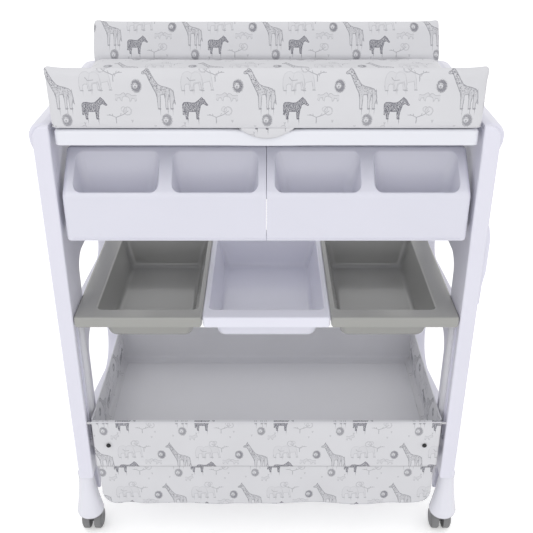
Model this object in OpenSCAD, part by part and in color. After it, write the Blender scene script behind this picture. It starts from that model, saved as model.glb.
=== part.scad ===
// Changing table with a baby bath under a hinged changing top, two front organizers, three pull-out trays,
// a fabric basket and four swivel casters. Lengths are in millimetres, angles in degrees.
// +Z is up, the front faces -Y, and the origin is on the floor at the middle of the footprint.

/* [Side frames] */
// Gap between the inner faces of the two side frames
inner_w = 740; // [730:2:760]
// Thickness of a side frame
frame_t = 30; // [28:1:34]
// Depth of a side frame, front to back
frame_d = 480; // [480:2:500]
// Height of the top of the side frames
frame_top = 940; // [938:1:942]
// Depth of a front leg
front_leg_d = 95; // [85:1:95]
// Depth of a rear leg
rear_leg_d = 80; // [75:1:85]

/* [Casters] */
// Radius of a wheel
wheel_r = 25; // [20:0.5:25]
// Distance of the axle behind the swivel axis
trail = 13; // [10:0.5:16]
// Widest radius of a bell-shaped foot
bell_r = 29; // [24:0.5:29]
// Radius of a foot's neck
neck_r = 16; // [14:0.5:16]
// Radius of the swivel stem
stem_r = 4.55; // [4:0.05:5]
// Radius of an axle
axle_r = 3; // [2.5:0.1:3.5]
// Height of the bottom edge of a foot
foot_bottom = 53; // [53:0.5:56]

/* [Bath] */
// Width of the bath's rim
rim_w = 725; // [715:1:725]
// Height of the top of the rim
rim_top = 942; // [941:0.5:943]
// Depth of the rim's turned-down edge
rim_h = 27; // [24:1:30]
// Depth of the well below the rim
bath_depth = 190; // [150:5:192]
// Radius of the drain hole
drain_r = 18; // [14:0.5:20]
// Outer radius of the drain spigot
spigot_r = 12; // [10:0.5:14]

/* [Changing top] */
// Half of the pad's width
mat_half = 363; // [355:1:366]
// Height of the underside of the changing top
mat_base = 945; // [944.5:0.1:947]
// Height of the flat middle of the pad
pad_top = 980; // [970:1:990]
// Height of the two bolsters
bolster_top = 1050; // [1020:1:1060]
// Radius of a hinge pin
pin_r = 3; // [2:0.1:3.5]

/* [Trays] */
// Height of the trays' rims
tray_top = 571; // [569:0.5:573]
// Depth of a tray's well
tray_depth = 70; // [50:1:70]
// Clear gap between two trays
tray_gap = 1.4; // [1:0.1:2]

/* [Organizers] */
// Width of one organizer
organizer_w = 361.5; // [350:0.5:362]
// Height of the bottom of the organizers
organizer_bottom = 733; // [728:1:740]

/* [Basket] */
// Height of the base board's top
base_top = 222; // [221:0.5:224]
// Height of the basket's front guard
guard_top = 321; // [318:1:330]
// Height of the skirt's bottom edge
skirt_bottom = 95; // [90:1:110]

/* [Hidden] */
$fn = 64;
ix = inner_w / 2;
ox = ix + frame_t;
// The side frames stand 5 mm forward of the middle, so that the feet and the trailing wheels are centred.
front_y = -frame_d / 2 - 5;
rear_y = frame_d / 2 - 5;
front_leg_back = front_y + front_leg_d;
rear_leg_front = rear_y - rear_leg_d;

foot_x = ix + 21;
foot_front_y = front_y + 24;
foot_rear_y = rear_y - 23;
foot_top = 172;
leg_bottom = 98;

// Cross tubes between the side frames: [y, z, radius]
tube_front_upper = [-157, 926.8, 10];
tube_rear_upper = [182, 926.8, 10];
tube_front_lower = [-195, 205, 10];
tube_rear_lower = [180, 205, 10];
tube_tray_mid = [-40, 487, 7.5];
tube_tray_rear = [175, 553, 7.5];
TUBES = [tube_front_upper, tube_rear_upper, tube_front_lower, tube_rear_lower, tube_tray_mid, tube_tray_rear];
socket_depth = 14;
guard_rod = [-239, guard_top - 6, 3];

// Vertical tube let into the inner face of each front leg: [x, y, radius]
leg_tube = [ix + 4, front_y + 50, 11];
leg_tube_z = [262, 540];

bath_well = [-312, 312, -132, 162];
bath_rear = 198;
wall = 3;
bath_floor = rim_top - bath_depth;
drain_at = [225, 80];
tab_r = 68;
tab_h = 18;
// Radius of the scoop round the pull tab in the bath's rim
scoop_r = tab_r + 8;

hinge_y = 207;
hinge_z = 950;
hinge_x = 250;
leaf_w = 27;
leaf_t = 3;
mat_rear = 190;

tray_rear = 128;
tray_well_y = [front_y + 33, 118];
tray_split = inner_w / 6;
runner_top = tray_top - 3.7;

// Pockets of the right organizer: [x0, x1]
POCKETS = [[15, 168], [192, 343]];
pocket_y = [front_y + 5, front_y + 66];
pocket_floor = 765;
pocket_draft = [20, 6];
pocket_r = 14;
organizer_lip = 823;
organizer_top = 887;
organizer_d = 85;
// Depth of the slope that the pockets open in
slope_d = 72;

// ---- Outlines ----

function unit(v) = v / norm(v);

// Points of an arc of radius r that rounds the corner b between a and c
function corner(a, b, c, r, n) =
    r == 0 ? [b] :
    let (u = unit(a - b), v = unit(c - b), half = acos(u * v) / 2)
    let (centre = b + unit(u + v) * r / sin(half))
    let (s = b + u * r / tan(half) - centre, e = b + v * r / tan(half) - centre)
    let (start = atan2(s.y, s.x), sweep = (atan2(e.y, e.x) - start + 540) % 360 - 180)
    [for (i = [0:n]) centre + r * [cos(start + sweep * i / n), sin(start + sweep * i / n)]];

// Closed outline with rounded corners, from points given as [a, b, corner radius]
function rounded(points, n = 6) =
    let (k = len(points), flat = [for (p = points) [p.x, p.y]])
    [for (i = [0:k - 1]) each corner(flat[(i + k - 1) % k], flat[i], flat[(i + 1) % k], points[i].z, n)];

// Extrudes a (Y, Z) outline along X
module along_x(x0, x1) {
    translate([x0, 0, 0]) rotate([90, 0, 90]) linear_extrude(x1 - x0) children();
}

// Extrudes an (X, Z) outline along Y
module along_y(y0, y1) {
    translate([0, y1, 0]) rotate([90, 0, 0]) linear_extrude(y1 - y0) children();
}

// Upright plate with rounded corners in plan
module plate(x0, x1, y0, y1, z0, z1, r) {
    translate([0, 0, z0]) linear_extrude(z1 - z0)
        polygon(rounded([[x0, y0, r], [x1, y0, r], [x1, y1, r], [x0, y1, r]]));
}

// Rod along X between x0 and x1
module rod_x(x0, x1, y, z, r) {
    translate([x0, y, z]) rotate([0, 90, 0]) cylinder(h = x1 - x0, r = r);
}

// Drafted well, or its outside when grow is the wall's thickness. box is [x0, x1, y0, y1] at the top.
module well(box, z_top, z_floor, draft, r, grow = 0) {
    hull() {
        inset_plate(box, [-grow, -grow], z_top, r + grow);
        well_bottom(box, z_floor, [draft, draft], r, grow);
    }
}

// Lower end of a well, with its fillet
module well_bottom(box, z_floor, draft, r, grow) {
    fillet = 12;
    wall_d = [grow, grow];
    turn = 0.7 * [fillet, fillet];
    inset_plate(box, draft * 0.85 - wall_d, z_floor - grow + fillet, r + grow);
    inset_plate(box, draft + turn - wall_d, z_floor - grow, r + grow);
}

// Thin slice of a well, set in from box by d.x and d.y
module inset_plate(box, d, z, r) {
    slice = 0.02;
    plate(box[0] + d.x, box[1] - d.x, box[2] + d.y, box[3] - d.y, z, z + slice, r);
}

// ---- Side frames ----

side_outline = [
    [front_y, foot_top, 0], [foot_front_y + 18, foot_top, 0], [foot_front_y + 26, leg_bottom, 4],
    [foot_front_y + 34, leg_bottom, 5], [front_leg_back - 22, 150, 20], [front_leg_back + 10, 188, 40],
    [rear_leg_front - 5, 158, 40], [rear_leg_front + 8, 140, 15], [foot_rear_y - 34, leg_bottom, 5],
    [foot_rear_y - 26, leg_bottom, 4], [foot_rear_y - 18, foot_top, 0], [rear_y, foot_top, 0],
    [rear_y, frame_top, 12], [front_y, frame_top, 12]
];
upper_opening = [
    [front_leg_back, 535, 30], [rear_leg_front, 508, 30], [rear_leg_front, 654, 34], [front_leg_back, 654, 34]
];
lower_opening = [
    [front_leg_back, 276, 40], [-30, 248, 60], [rear_leg_front, 210, 60],
    [rear_leg_front, 474, 44], [front_leg_back, 474, 44]
];

module side_frame() {
    difference() {
        along_x(ix, ox) polygon(rounded(side_outline));
        along_x(ix - 1, ox + 1) polygon(rounded(upper_opening, 8));
        along_x(ix - 1, ox + 1) polygon(rounded(lower_opening, 8));
        for (t = TUBES) rod_x(ix - 1, ix + socket_depth, t.x, t.y, t.z + 0.1);
        rod_x(ix - 1, ix + 9, guard_rod.x, guard_rod.y, guard_rod.z + 0.1);
        translate([leg_tube.x, leg_tube.y, leg_tube_z[0]])
            cylinder(h = leg_tube_z[1] - leg_tube_z[0], r = leg_tube.z + 0.2);
        translate([ix - 1, front_y + 13, leg_tube_z[0]]) cube([5, 15, leg_tube_z[1] - leg_tube_z[0]]);
    }
    nose();
}

module side_frame_left() { color("ghostwhite") mirror([1, 0, 0]) side_frame(); }
module side_frame_right() { color("ghostwhite") side_frame(); }

// Depth of the rounded top of a front leg
nose_d = 11.7;

// Rounded top of a front leg, which the cap ends behind
module nose() {
    along_y(front_y, front_y + nose_d) polygon(rounded([
        [ix, frame_top - 16, 0], [ix, frame_top + 8.5, 5], [ix + 13, frame_top + 8.5, 10], [ox, frame_top, 12],
        [ox, frame_top - 16, 0]
    ], 5));
}

// Cap over the top of a side frame, with a lip that hangs outside it
module shoulder_cap() {
    top = frame_top + 9;
    along_y(front_y + nose_d + 0.3, rear_y) polygon(rounded([
        [ix + 1.2, frame_top + 0.2, 0], [ix + 1.2, top - 2, 3], [ix + 14, top + 1, 12], [ox + 2, top - 3, 16],
        [ox + 10, top - 18, 14], [ox + 9, top - 34, 12], [ox + 4.6, top - 48, 1], [ox + 2.4, top - 48, 0.8],
        [ox + 6, top - 33, 9], [ox + 6.4, top - 20, 8], [ox + 1, frame_top + 0.2, 2]
    ], 5));
}

module shoulder_cap_left() { color("white") mirror([1, 0, 0]) shoulder_cap(); }
module shoulder_cap_right() { color("white") shoulder_cap(); }

module leg_tube_post() {
    translate([leg_tube.x, leg_tube.y, leg_tube_z[0] + 0.2]) difference() {
        cylinder(h = leg_tube_z[1] - leg_tube_z[0] - 0.4, r = leg_tube.z);
        translate([0, 0, -1]) cylinder(h = leg_tube_z[1] - leg_tube_z[0] + 2, r = leg_tube.z - 1.5);
    }
}

module leg_tube_left() { color("lightgray") mirror([1, 0, 0]) leg_tube_post(); }
module leg_tube_right() { color("lightgray") leg_tube_post(); }

// Steel tube between the two side frames, let into their sockets
module cross_tube(t) {
    half = ix + socket_depth - 0.5;
    color("gainsboro") difference() {
        rod_x(-half, half, t.x, t.y, t.z);
        rod_x(-half - 1, half + 1, t.x, t.y, t.z - 1.5);
    }
}

module front_upper_tube() { cross_tube(tube_front_upper); }
module rear_upper_tube() { cross_tube(tube_rear_upper); }
module front_lower_tube() { cross_tube(tube_front_lower); }
module rear_lower_tube() { cross_tube(tube_rear_lower); }
module tray_mid_tube() { cross_tube(tube_tray_mid); }
module tray_rear_tube() { cross_tube(tube_tray_rear); }

// Domed caps over the screws that hold the cross tubes
module screw_caps() {
    cap_r = 6;
    color("whitesmoke") for (side = [0, 1]) mirror([side, 0, 0]) for (t = TUBES) {
        rod_x(ox, ox + 1.2, t.x, t.y, cap_r);
        rod_x(ox + 1.2, ox + 2.2, t.x, t.y, cap_r - 1.5);
    }
}

// Flat hook on the outside of the right front leg
module side_hook() {
    color("white") along_y(front_y + 6, front_y + 40) polygon(rounded([
        [ox + 0.1, 598, 0], [ox + 2.8, 598, 1], [ox + 3.6, 640, 10], [ox + 7.6, 668, 12],
        [ox + 7.4, 736, 14], [ox + 2.4, 760, 4], [ox + 0.1, 762, 0]
    ], 5));
}

// ---- Bath ----

module bath_tub() {
    half = rim_w / 2;
    inner = half - wall;
    under = rim_top - 5;
    skirt_bottom_z = rim_top - rim_h;
    color("white") difference() {
        union() {
            difference() {
                plate(-half, half, front_y, bath_rear, skirt_bottom_z, rim_top, 8);
                plate(-inner, inner, front_y + 20, bath_rear - wall, skirt_bottom_z - 1, under, 5);
            }
            well(bath_well, rim_top - 0.02, bath_floor, 22, 70, wall);
        }
        well(bath_well, rim_top, bath_floor, 22, 70);
        tube_notches(skirt_bottom_z - 1, under);
        translate([drain_at.x, drain_at.y, bath_floor - 10]) cylinder(h = 20, r = drain_r);
        along_y(front_y - 1, front_y + 7) translate([0, mat_base - tab_h - 4 + scoop_r]) circle(scoop_r);
    }
}

// Room in the rim's ends for the two upper cross tubes
module tube_notches(z0, z1) {
    for (t = [tube_front_upper, tube_rear_upper])
        translate([-rim_w / 2 - 1, t.x - t.z - 1, z0]) cube([rim_w + 2, 2 * t.z + 2, z1 - z0]);
}

module drain_outlet() {
    under = bath_floor - wall - 0.1;
    color("silver") translate([drain_at.x, drain_at.y, 0]) difference() {
        union() {
            translate([0, 0, under - 3]) cylinder(h = 3, r = drain_r + 8);
            translate([0, 0, under - 12]) cylinder(h = 12, r = drain_r);
            translate([0, 0, under - 36]) cylinder(h = 36, r = spigot_r);
        }
        translate([0, 0, under - 9]) cylinder(h = 10, r = drain_r - 3);
        translate([0, 0, under - 37]) cylinder(h = 40, r = spigot_r - 3);
    }
}

module drain_plug() {
    color("dimgray") translate([drain_at.x, drain_at.y, bath_floor]) {
        translate([0, 0, -2.5]) cylinder(h = 3, r = drain_r - 0.3);
        translate([0, 0, 0.4]) cylinder(h = 2.6, r = drain_r + 4);
        translate([0, 0, 3]) cylinder(h = 8, r = 4);
        translate([0, 0, 11]) cylinder(h = 4, r = 7);
    }
}

// ---- Organizers ----

organizer_profile = [
    [front_y, organizer_bottom, 3], [front_y, organizer_lip, 5], [front_y + slope_d, organizer_top, 4],
    [front_y + organizer_d, organizer_top, 3], [front_y + organizer_d, organizer_bottom, 3]
];
organizer_inside = [
    [front_y + wall, organizer_bottom - 5, 0], [front_y + wall, organizer_lip - 2, 3],
    [front_y + slope_d + 1, organizer_top - 3.4, 2], [front_y + organizer_d - wall, organizer_top - 3.4, 1],
    [front_y + organizer_d - wall, organizer_bottom - 5, 0]
];

// Slot in the back of an organizer, between its pockets, where its bracket's tongue goes
tongue_x = 180;
tongue_w = 9;
tongue_z = [790, 806];
slot_gap = 0.4;
slot = [tongue_w + 2 * slot_gap, tongue_z[1] - tongue_z[0] + 2 * slot_gap];

module organizer() {
    x0 = 0.5;
    x1 = x0 + organizer_w;
    color("white") difference() {
        union() {
            intersection() {
                difference() {
                    along_x(x0, x1) polygon(rounded(organizer_profile, 4));
                    along_x(x0 + wall, x1 - wall) polygon(rounded(organizer_inside, 3));
                }
                along_y(front_y - 1, front_y + organizer_d + 1) polygon(rounded([
                    [x0, organizer_bottom, 0], [x1, organizer_bottom, 10],
                    [x1, organizer_top, 6], [x0, organizer_top, 0]
                ]));
            }
            intersection() {
                along_x(x0, x1) polygon(rounded(organizer_profile, 4));
                for (p = POCKETS) pocket(p, 2.5);
            }
            translate([x0 + 1, front_y - 1.2, organizer_bottom + 1.5]) cube([organizer_w - 12, 1.6, 3]);
        }
        for (p = POCKETS) pocket(p);
        translate([tongue_x - slot[0] / 2, front_y + organizer_d - wall - 1, tongue_z[0] - slot_gap])
            cube([slot[0], wall + 2, slot[1]]);
    }
}

// Pocket whose walls draw in from its slanting mouth, or its outside when grow is the wall's thickness
module pocket(p, grow = 0) {
    box = [p[0], p[1], pocket_y[0], pocket_y[1]];
    rise = (organizer_top - organizer_lip) / slope_d;
    mouth = [-2, 8];
    hull() {
        for (above = mouth)
            multmatrix([[1, 0, 0, 0], [0, 1, 0, 0], [0, rise, 1, organizer_lip - rise * front_y + above]])
                inset_plate(box, [-grow, -grow], 0, pocket_r + grow);
        well_bottom(box, pocket_floor, pocket_draft, pocket_r, grow);
    }
}

module organizer_left() { mirror([1, 0, 0]) organizer(); }
module organizer_right() { organizer(); }

// Saddles under the front upper tube, each with a tongue that an organizer slides on
module organizer_brackets() {
    t = tube_front_upper;
    back = front_y + organizer_d + 1;
    tip = front_y + 14;
    saddle = [24, 22, 24];
    saddle_z = 900;
    arm_d = 6;
    color("silver") for (side = [0, 1]) mirror([side, 0, 0]) difference() {
        union() {
            translate([tongue_x - saddle.x / 2, back, saddle_z]) cube(saddle);
            translate([tongue_x - tongue_w / 2, back, tongue_z[0]])
                cube([tongue_w, arm_d, saddle_z + 2 - tongue_z[0]]);
            translate([tongue_x - tongue_w / 2, tip, tongue_z[0]])
                cube([tongue_w, back + 1 - tip, tongue_z[1] - tongue_z[0]]);
        }
        rod_x(tongue_x - saddle.x, tongue_x + saddle.x, t.x, t.y, t.z + 0.1);
    }
}

// ---- Trays and their runners ----

// Open tray between x0 and x1, with flanges a and b wide beside its well
module tray(x0, x1, a, b) {
    side = [x0 + a, x1 - b, tray_well_y[0], tray_well_y[1]];
    floor_z = tray_top - tray_depth;
    difference() {
        union() {
            plate(x0, x1, front_y + 20, tray_rear, tray_top - 3, tray_top, 3);
            along_x(x0, x1) polygon(rounded([
                [front_y, tray_top - 21, 1], [front_y + 3, tray_top - 21, 1], [front_y + 3, tray_top - 3, 3],
                [front_y + 33, tray_top - 3, 0], [front_y + 33, tray_top, 0], [front_y, tray_top, 6]
            ]));
            well(side, tray_top - 0.02, floor_z, 20, 12, 2.5);
        }
        well(side, tray_top, floor_z, 20, 12);
    }
}

module tray_left() { color("darkgray") tray(-ix + 0.7, -tray_split - tray_gap / 2, 40, 10); }
module tray_center() { color("white") tray(-tray_split + tray_gap / 2, tray_split - tray_gap / 2, 11, 11); }
module tray_right() { color("darkgray") tray(tray_split + tray_gap / 2, ix - 0.7, 10, 40); }

// Angle bar on the inner faces of the legs, which the outer trays slide on
module tray_runner() {
    front = front_y + 17;
    length = 388;
    ledge = 14;
    back_h = 22;
    t = 3;
    along_x(ix - ledge, ix - 0.2) translate([front, runner_top - t]) square([length, t]);
    along_x(ix - t - 0.2, ix - 0.2) translate([front, runner_top - back_h]) square([length, back_h]);
}

module tray_runner_left() { color("gainsboro") mirror([1, 0, 0]) tray_runner(); }
module tray_runner_right() { color("gainsboro") tray_runner(); }

// T-shaped runners between the trays, on saddles over the two tray tubes
module tray_runners_mid() {
    front = front_y + 17;
    mid = tube_tray_mid;
    back = tube_tray_rear;
    color("gainsboro") for (x = [-tray_split, tray_split]) difference() {
        union() {
            along_x(x - 2, x + 2) polygon([
                [front, runner_top], [front, runner_top - 12], [mid.x - 22, mid.y + 10], [mid.x - 14, mid.y],
                [mid.x + 14, mid.y], [mid.x + 22, mid.y + 10], [back.x - 14, back.y - 6],
                [back.x + 12, back.y - 6], [back.x + 12, back.y + 10], [back.x - 12, runner_top]
            ]);
            along_x(x - 7, x + 7) translate([front, runner_top - 2]) square([back.x - 12 - front, 2]);
        }
        rod_x(x - 10, x + 10, mid.x, mid.y, mid.z + 0.1);
        rod_x(x - 10, x + 10, back.x, back.y, back.z + 0.1);
    }
}

// ---- Changing top and its hinge ----

module hinge_rail() {
    ear_t = 4;
    ear_r = pin_r + 4;
    ear_z = 930;
    rail = [[bath_rear + 2, 905], [6, 35]];
    color("gainsboro") difference() {
        union() {
            along_x(-ix + 0.1, ix - 0.1) translate(rail[0]) square(rail[1]);
            for (side = [-1, 1]) for (e = [-leaf_w / 2 - 0.5 - ear_t, leaf_w / 2 + 0.5]) {
                x = side * hinge_x + e;
                rod_x(x, x + ear_t, hinge_y, hinge_z, ear_r);
                along_x(x, x + ear_t)
                    translate([hinge_y - ear_r, ear_z]) square([2 * ear_r, hinge_z - ear_z]);
            }
        }
        rod_x(-ix, ix, hinge_y, hinge_z, pin_r + 0.03);
    }
}

module hinge_pins() {
    half = leaf_w / 2 + 5;
    color("silver") for (side = [-1, 1]) {
        rod_x(side * hinge_x - half, side * hinge_x + half, hinge_y, hinge_z, pin_r);
        rod_x(side * hinge_x + half, side * hinge_x + half + 2, hinge_y, hinge_z, pin_r + 1.5);
    }
}

module hinge_leaves() {
    color("gainsboro") for (side = [-1, 1]) difference() {
        union() {
            rod_x(side * hinge_x - leaf_w / 2, side * hinge_x + leaf_w / 2, hinge_y, hinge_z, pin_r + leaf_t);
            translate([side * hinge_x - leaf_w / 2, mat_rear, hinge_z - leaf_t])
                cube([leaf_w, hinge_y - mat_rear, 2 * leaf_t]);
        }
        rod_x(side * hinge_x - leaf_w, side * hinge_x + leaf_w, hinge_y, hinge_z, pin_r + 0.06);
    }
}

board_top = mat_base + 8;

module mat_board() {
    color("whitesmoke") plate(-mat_half, mat_half, front_y + 2, mat_rear, mat_base, board_top, 10);
}

module mat_pad() {
    color("white") plate(-mat_half + 1, mat_half - 1, front_y + 47, 126, board_top, pad_top, 6);
}

module bolster_front() {
    color("lightgray") along_x(-mat_half - 2, mat_half + 2) polygon(rounded([
        [front_y, board_top, 2], [front_y + 46.8, board_top, 0], [front_y + 46.8, pad_top, 4],
        [front_y + 14, bolster_top, 6], [front_y, bolster_top, 6]
    ]));
}

module bolster_rear() {
    color("lightgray") along_x(-mat_half - 2, mat_half + 2) polygon(rounded([
        [126.2, board_top, 0], [mat_rear - 1, board_top, 2], [mat_rear - 8, bolster_top, 6],
        [mat_rear - 29, bolster_top, 6], [126.2, pad_top, 4]
    ]));
}

// Half-round tongue under the front edge, for lifting the top
module pull_tab() {
    color("lightgray") along_y(front_y, front_y + 4) intersection() {
        translate([0, mat_base - tab_h + tab_r]) circle(tab_r);
        translate([-tab_r, mat_base - tab_h]) square([2 * tab_r, tab_h]);
    }
}

// ---- Basket ----

basket_rear = 132.5;
panel_t = 4;
panel_h = 104;
guard_bottom = 202;
guard_half = 360;

module base_board() {
    color("whitesmoke") plate(-ix + 16, ix - 16, front_y + 20, basket_rear, base_top - 6.5, base_top, 20);
}

module basket_front() {
    color("lightgray") difference() {
        along_x(-guard_half, guard_half) polygon(rounded([
            [front_y + 2, guard_bottom, 1], [front_y + 10, guard_bottom, 1],
            [front_y + 10, guard_top, 3], [front_y + 2, guard_top, 3]
        ]));
        rod_x(-ix, ix, guard_rod.x, guard_rod.y, guard_rod.z + 0.05);
    }
}

module basket_skirt() {
    color("lightgray") along_y(front_y + 3, front_y + 6) polygon(rounded([
        [-ix + 15, skirt_bottom, 33], [ix - 15, skirt_bottom, 33],
        [ix - 15, guard_bottom - 0.2, 0], [-ix + 15, guard_bottom - 0.2, 0]
    ]));
}

module basket_side() {
    translate([ix - 13, front_y + 11, base_top - 6]) cube([panel_t, basket_rear - front_y - 10.5, panel_h]);
}

module basket_left() { color("lightgray") mirror([1, 0, 0]) basket_side(); }
module basket_right() { color("lightgray") basket_side(); }

module basket_back() {
    color("white") translate([-ix + 9, basket_rear + 1, base_top - 6]) cube([inner_w - 18, panel_t, panel_h]);
}

module guard_rod() {
    color("silver") rod_x(-ix - 8, ix + 8, guard_rod.x, guard_rod.y, guard_rod.z);
}

module snap_buttons() {
    snap_x = 330;
    snap_z = 259;
    color("black") for (x = [-snap_x, snap_x]) translate([x, front_y + 2, snap_z]) rotate([90, 0, 0]) {
        cylinder(h = 1.2, r = 4.8);
        translate([0, 0, 1.2]) cylinder(h = 1, r = 3.2);
    }
}

// ---- Feet and casters, drawn round the swivel axis and placed at a corner ----

// side is -1 on the left and 1 on the right; y is the swivel axis
module at_corner(side, y) {
    translate([side * foot_x, y, 0]) children();
}

// Radius of the bell from its neck, t = 0, to its widest ring, t = 1
function bell_radius(t) = neck_r + (bell_r - neck_r) * pow(t, 1.6);

module foot() {
    widest = foot_bottom + 11;
    flare = [for (i = [0:10]) [bell_radius(i / 10), foot_top - 0.2 - (foot_top - 0.2 - widest) * i / 10]];
    color("white") difference() {
        rotate_extrude() polygon(concat(
            [[0, foot_top - 0.2]], flare,
            [[bell_r - 0.6, widest - 4], [bell_r - 2.6, widest - 8],
             [bell_r - 6, foot_bottom], [0, foot_bottom]]
        ));
        translate([0, 0, foot_bottom - 1]) cylinder(h = 42, r = stem_r + 0.05);
    }
}

// Swivel body: stem, collar and the rib that holds the axle. rib_x is the rib's reach towards +X.
module caster(rib_x = 4.2) {
    color("dimgray") difference() {
        union() {
            translate([0, 0, foot_bottom - 1]) cylinder(h = 38, r = stem_r);
            translate([0, 0, 2 * wheel_r + 0.6]) cylinder(h = foot_bottom - 2 * wheel_r - 1, r = 11);
            along_x(-4.2, rib_x) polygon([
                [-8, 2 * wheel_r + 0.8], [9, 2 * wheel_r + 0.8], [trail + 9, wheel_r + 8],
                [trail + 2, wheel_r - 8], [trail - 9, wheel_r]
            ]);
            rod_x(-4.2, rib_x, trail, wheel_r, 10);
        }
        rod_x(-10, 10, trail, wheel_r, axle_r + 0.03);
    }
}

module axle() {
    color("silver") rod_x(-21.2, 21.2, trail, wheel_r, axle_r);
}

// One wheel of a pair, with a domed outer face: outline points are [radius, distance from the middle]
module wheel() {
    r = wheel_r;
    dome = [for (i = [0:6]) [(r - 2.5) * cos(15 * i), 20 + 4 * sin(15 * i)]];
    translate([0, trail, r]) rotate([0, 90, 0]) rotate_extrude() polygon(concat(
        [[axle_r + 0.05, 4.8], [r - 1, 4.8], [r, 5.8], [r, 18.5], [r - 1, 20]], dome,
        [[0, 21.6], [axle_r + 0.05, 21.6]]
    ));
}

module wheels() {
    color("slategray") {
        wheel();
        mirror([1, 0, 0]) wheel();
    }
}

// Lever that turns on the axle beside a narrow rib and presses a shoe on both wheels
module brake_lever() {
    arm = [0.7, 4.3];
    inner = wheel_r + 1.5;
    outer = wheel_r + 4.5;
    steps = 8;
    shoe = [for (i = [0:steps]) let (a = 25 + 35 * i / steps) [cos(a), sin(a)]];
    color("gray") difference() {
        union() {
            rod_x(arm[0], arm[1], trail, wheel_r, 7);
            along_x(arm[0], arm[1])
                translate([trail, wheel_r]) rotate(40) translate([4, -4]) square([inner - 3, 8]);
            along_x(-15, 15) translate([trail, wheel_r]) polygon(concat(
                [for (p = shoe) outer * p], [for (i = [steps:-1:0]) inner * shoe[i]]
            ));
        }
        rod_x(0, 5, trail, wheel_r, axle_r + 0.05);
    }
}

module foot_front_left() { at_corner(-1, foot_front_y) foot(); }
module foot_front_right() { at_corner(1, foot_front_y) foot(); }
module foot_rear_left() { at_corner(-1, foot_rear_y) foot(); }
module foot_rear_right() { at_corner(1, foot_rear_y) foot(); }
module caster_front_left() { at_corner(-1, foot_front_y) caster(0.3); }
module caster_front_right() { at_corner(1, foot_front_y) caster(0.3); }
module caster_rear_left() { at_corner(-1, foot_rear_y) caster(); }
module caster_rear_right() { at_corner(1, foot_rear_y) caster(); }
module axle_front_left() { at_corner(-1, foot_front_y) axle(); }
module axle_front_right() { at_corner(1, foot_front_y) axle(); }
module axle_rear_left() { at_corner(-1, foot_rear_y) axle(); }
module axle_rear_right() { at_corner(1, foot_rear_y) axle(); }
module wheels_front_left() { at_corner(-1, foot_front_y) wheels(); }
module wheels_front_right() { at_corner(1, foot_front_y) wheels(); }
module wheels_rear_left() { at_corner(-1, foot_rear_y) wheels(); }
module wheels_rear_right() { at_corner(1, foot_rear_y) wheels(); }
module brake_lever_left() { at_corner(-1, foot_front_y) brake_lever(); }
module brake_lever_right() { at_corner(1, foot_front_y) brake_lever(); }

// ---- Nodes ----

side_frame_left();
side_frame_right();
shoulder_cap_left();
shoulder_cap_right();
leg_tube_left();
leg_tube_right();
front_upper_tube();
rear_upper_tube();
front_lower_tube();
rear_lower_tube();
tray_mid_tube();
tray_rear_tube();
screw_caps();
side_hook();
bath_tub();
drain_outlet();
drain_plug();
organizer_left();
organizer_right();
organizer_brackets();
tray_left();
tray_center();
tray_right();
tray_runner_left();
tray_runner_right();
tray_runners_mid();
hinge_rail();
hinge_pins();
hinge_leaves();
mat_board();
mat_pad();
bolster_front();
bolster_rear();
pull_tab();
base_board();
basket_front();
basket_skirt();
basket_left();
basket_right();
basket_back();
guard_rod();
snap_buttons();
foot_front_left();
foot_front_right();
foot_rear_left();
foot_rear_right();
caster_front_left();
caster_front_right();
caster_rear_left();
caster_rear_right();
axle_front_left();
axle_front_right();
axle_rear_left();
axle_rear_right();
wheels_front_left();
wheels_front_right();
wheels_rear_left();
wheels_rear_right();
brake_lever_left();
brake_lever_right();
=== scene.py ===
"""Looks of a changing table: frame, bath under a printed changing top, organizers, trays and a basket."""
import math
from contextlib import contextmanager

import bmesh
import bpy
from mathutils import Matrix, Vector, noise


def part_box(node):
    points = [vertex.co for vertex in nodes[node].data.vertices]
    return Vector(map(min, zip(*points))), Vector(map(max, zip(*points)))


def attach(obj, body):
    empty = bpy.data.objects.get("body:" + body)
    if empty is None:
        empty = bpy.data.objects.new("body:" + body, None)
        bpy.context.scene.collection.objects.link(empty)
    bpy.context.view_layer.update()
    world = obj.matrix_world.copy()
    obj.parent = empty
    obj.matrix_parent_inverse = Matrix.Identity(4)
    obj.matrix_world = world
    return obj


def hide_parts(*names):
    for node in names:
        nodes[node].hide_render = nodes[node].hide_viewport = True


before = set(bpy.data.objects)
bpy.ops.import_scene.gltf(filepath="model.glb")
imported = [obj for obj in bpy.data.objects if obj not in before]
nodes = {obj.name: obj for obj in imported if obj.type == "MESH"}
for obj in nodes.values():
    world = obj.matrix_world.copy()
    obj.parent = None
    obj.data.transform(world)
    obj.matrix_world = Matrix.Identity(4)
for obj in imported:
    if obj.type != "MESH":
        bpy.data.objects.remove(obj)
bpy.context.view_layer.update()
MM = 0.001
SAME = 1e-6  # distance under which two points are one, in metres
SLIVER = 1e-5  # size under which a face is taken out, in metres
MOULDED_WALL = 2.4 * MM  # organizers and trays
CLOTH = 0.8 * MM
EDGING = 1.4 * MM  # radius of the piping on the basket's sides and back


# ---- Shader nodes ----

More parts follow.
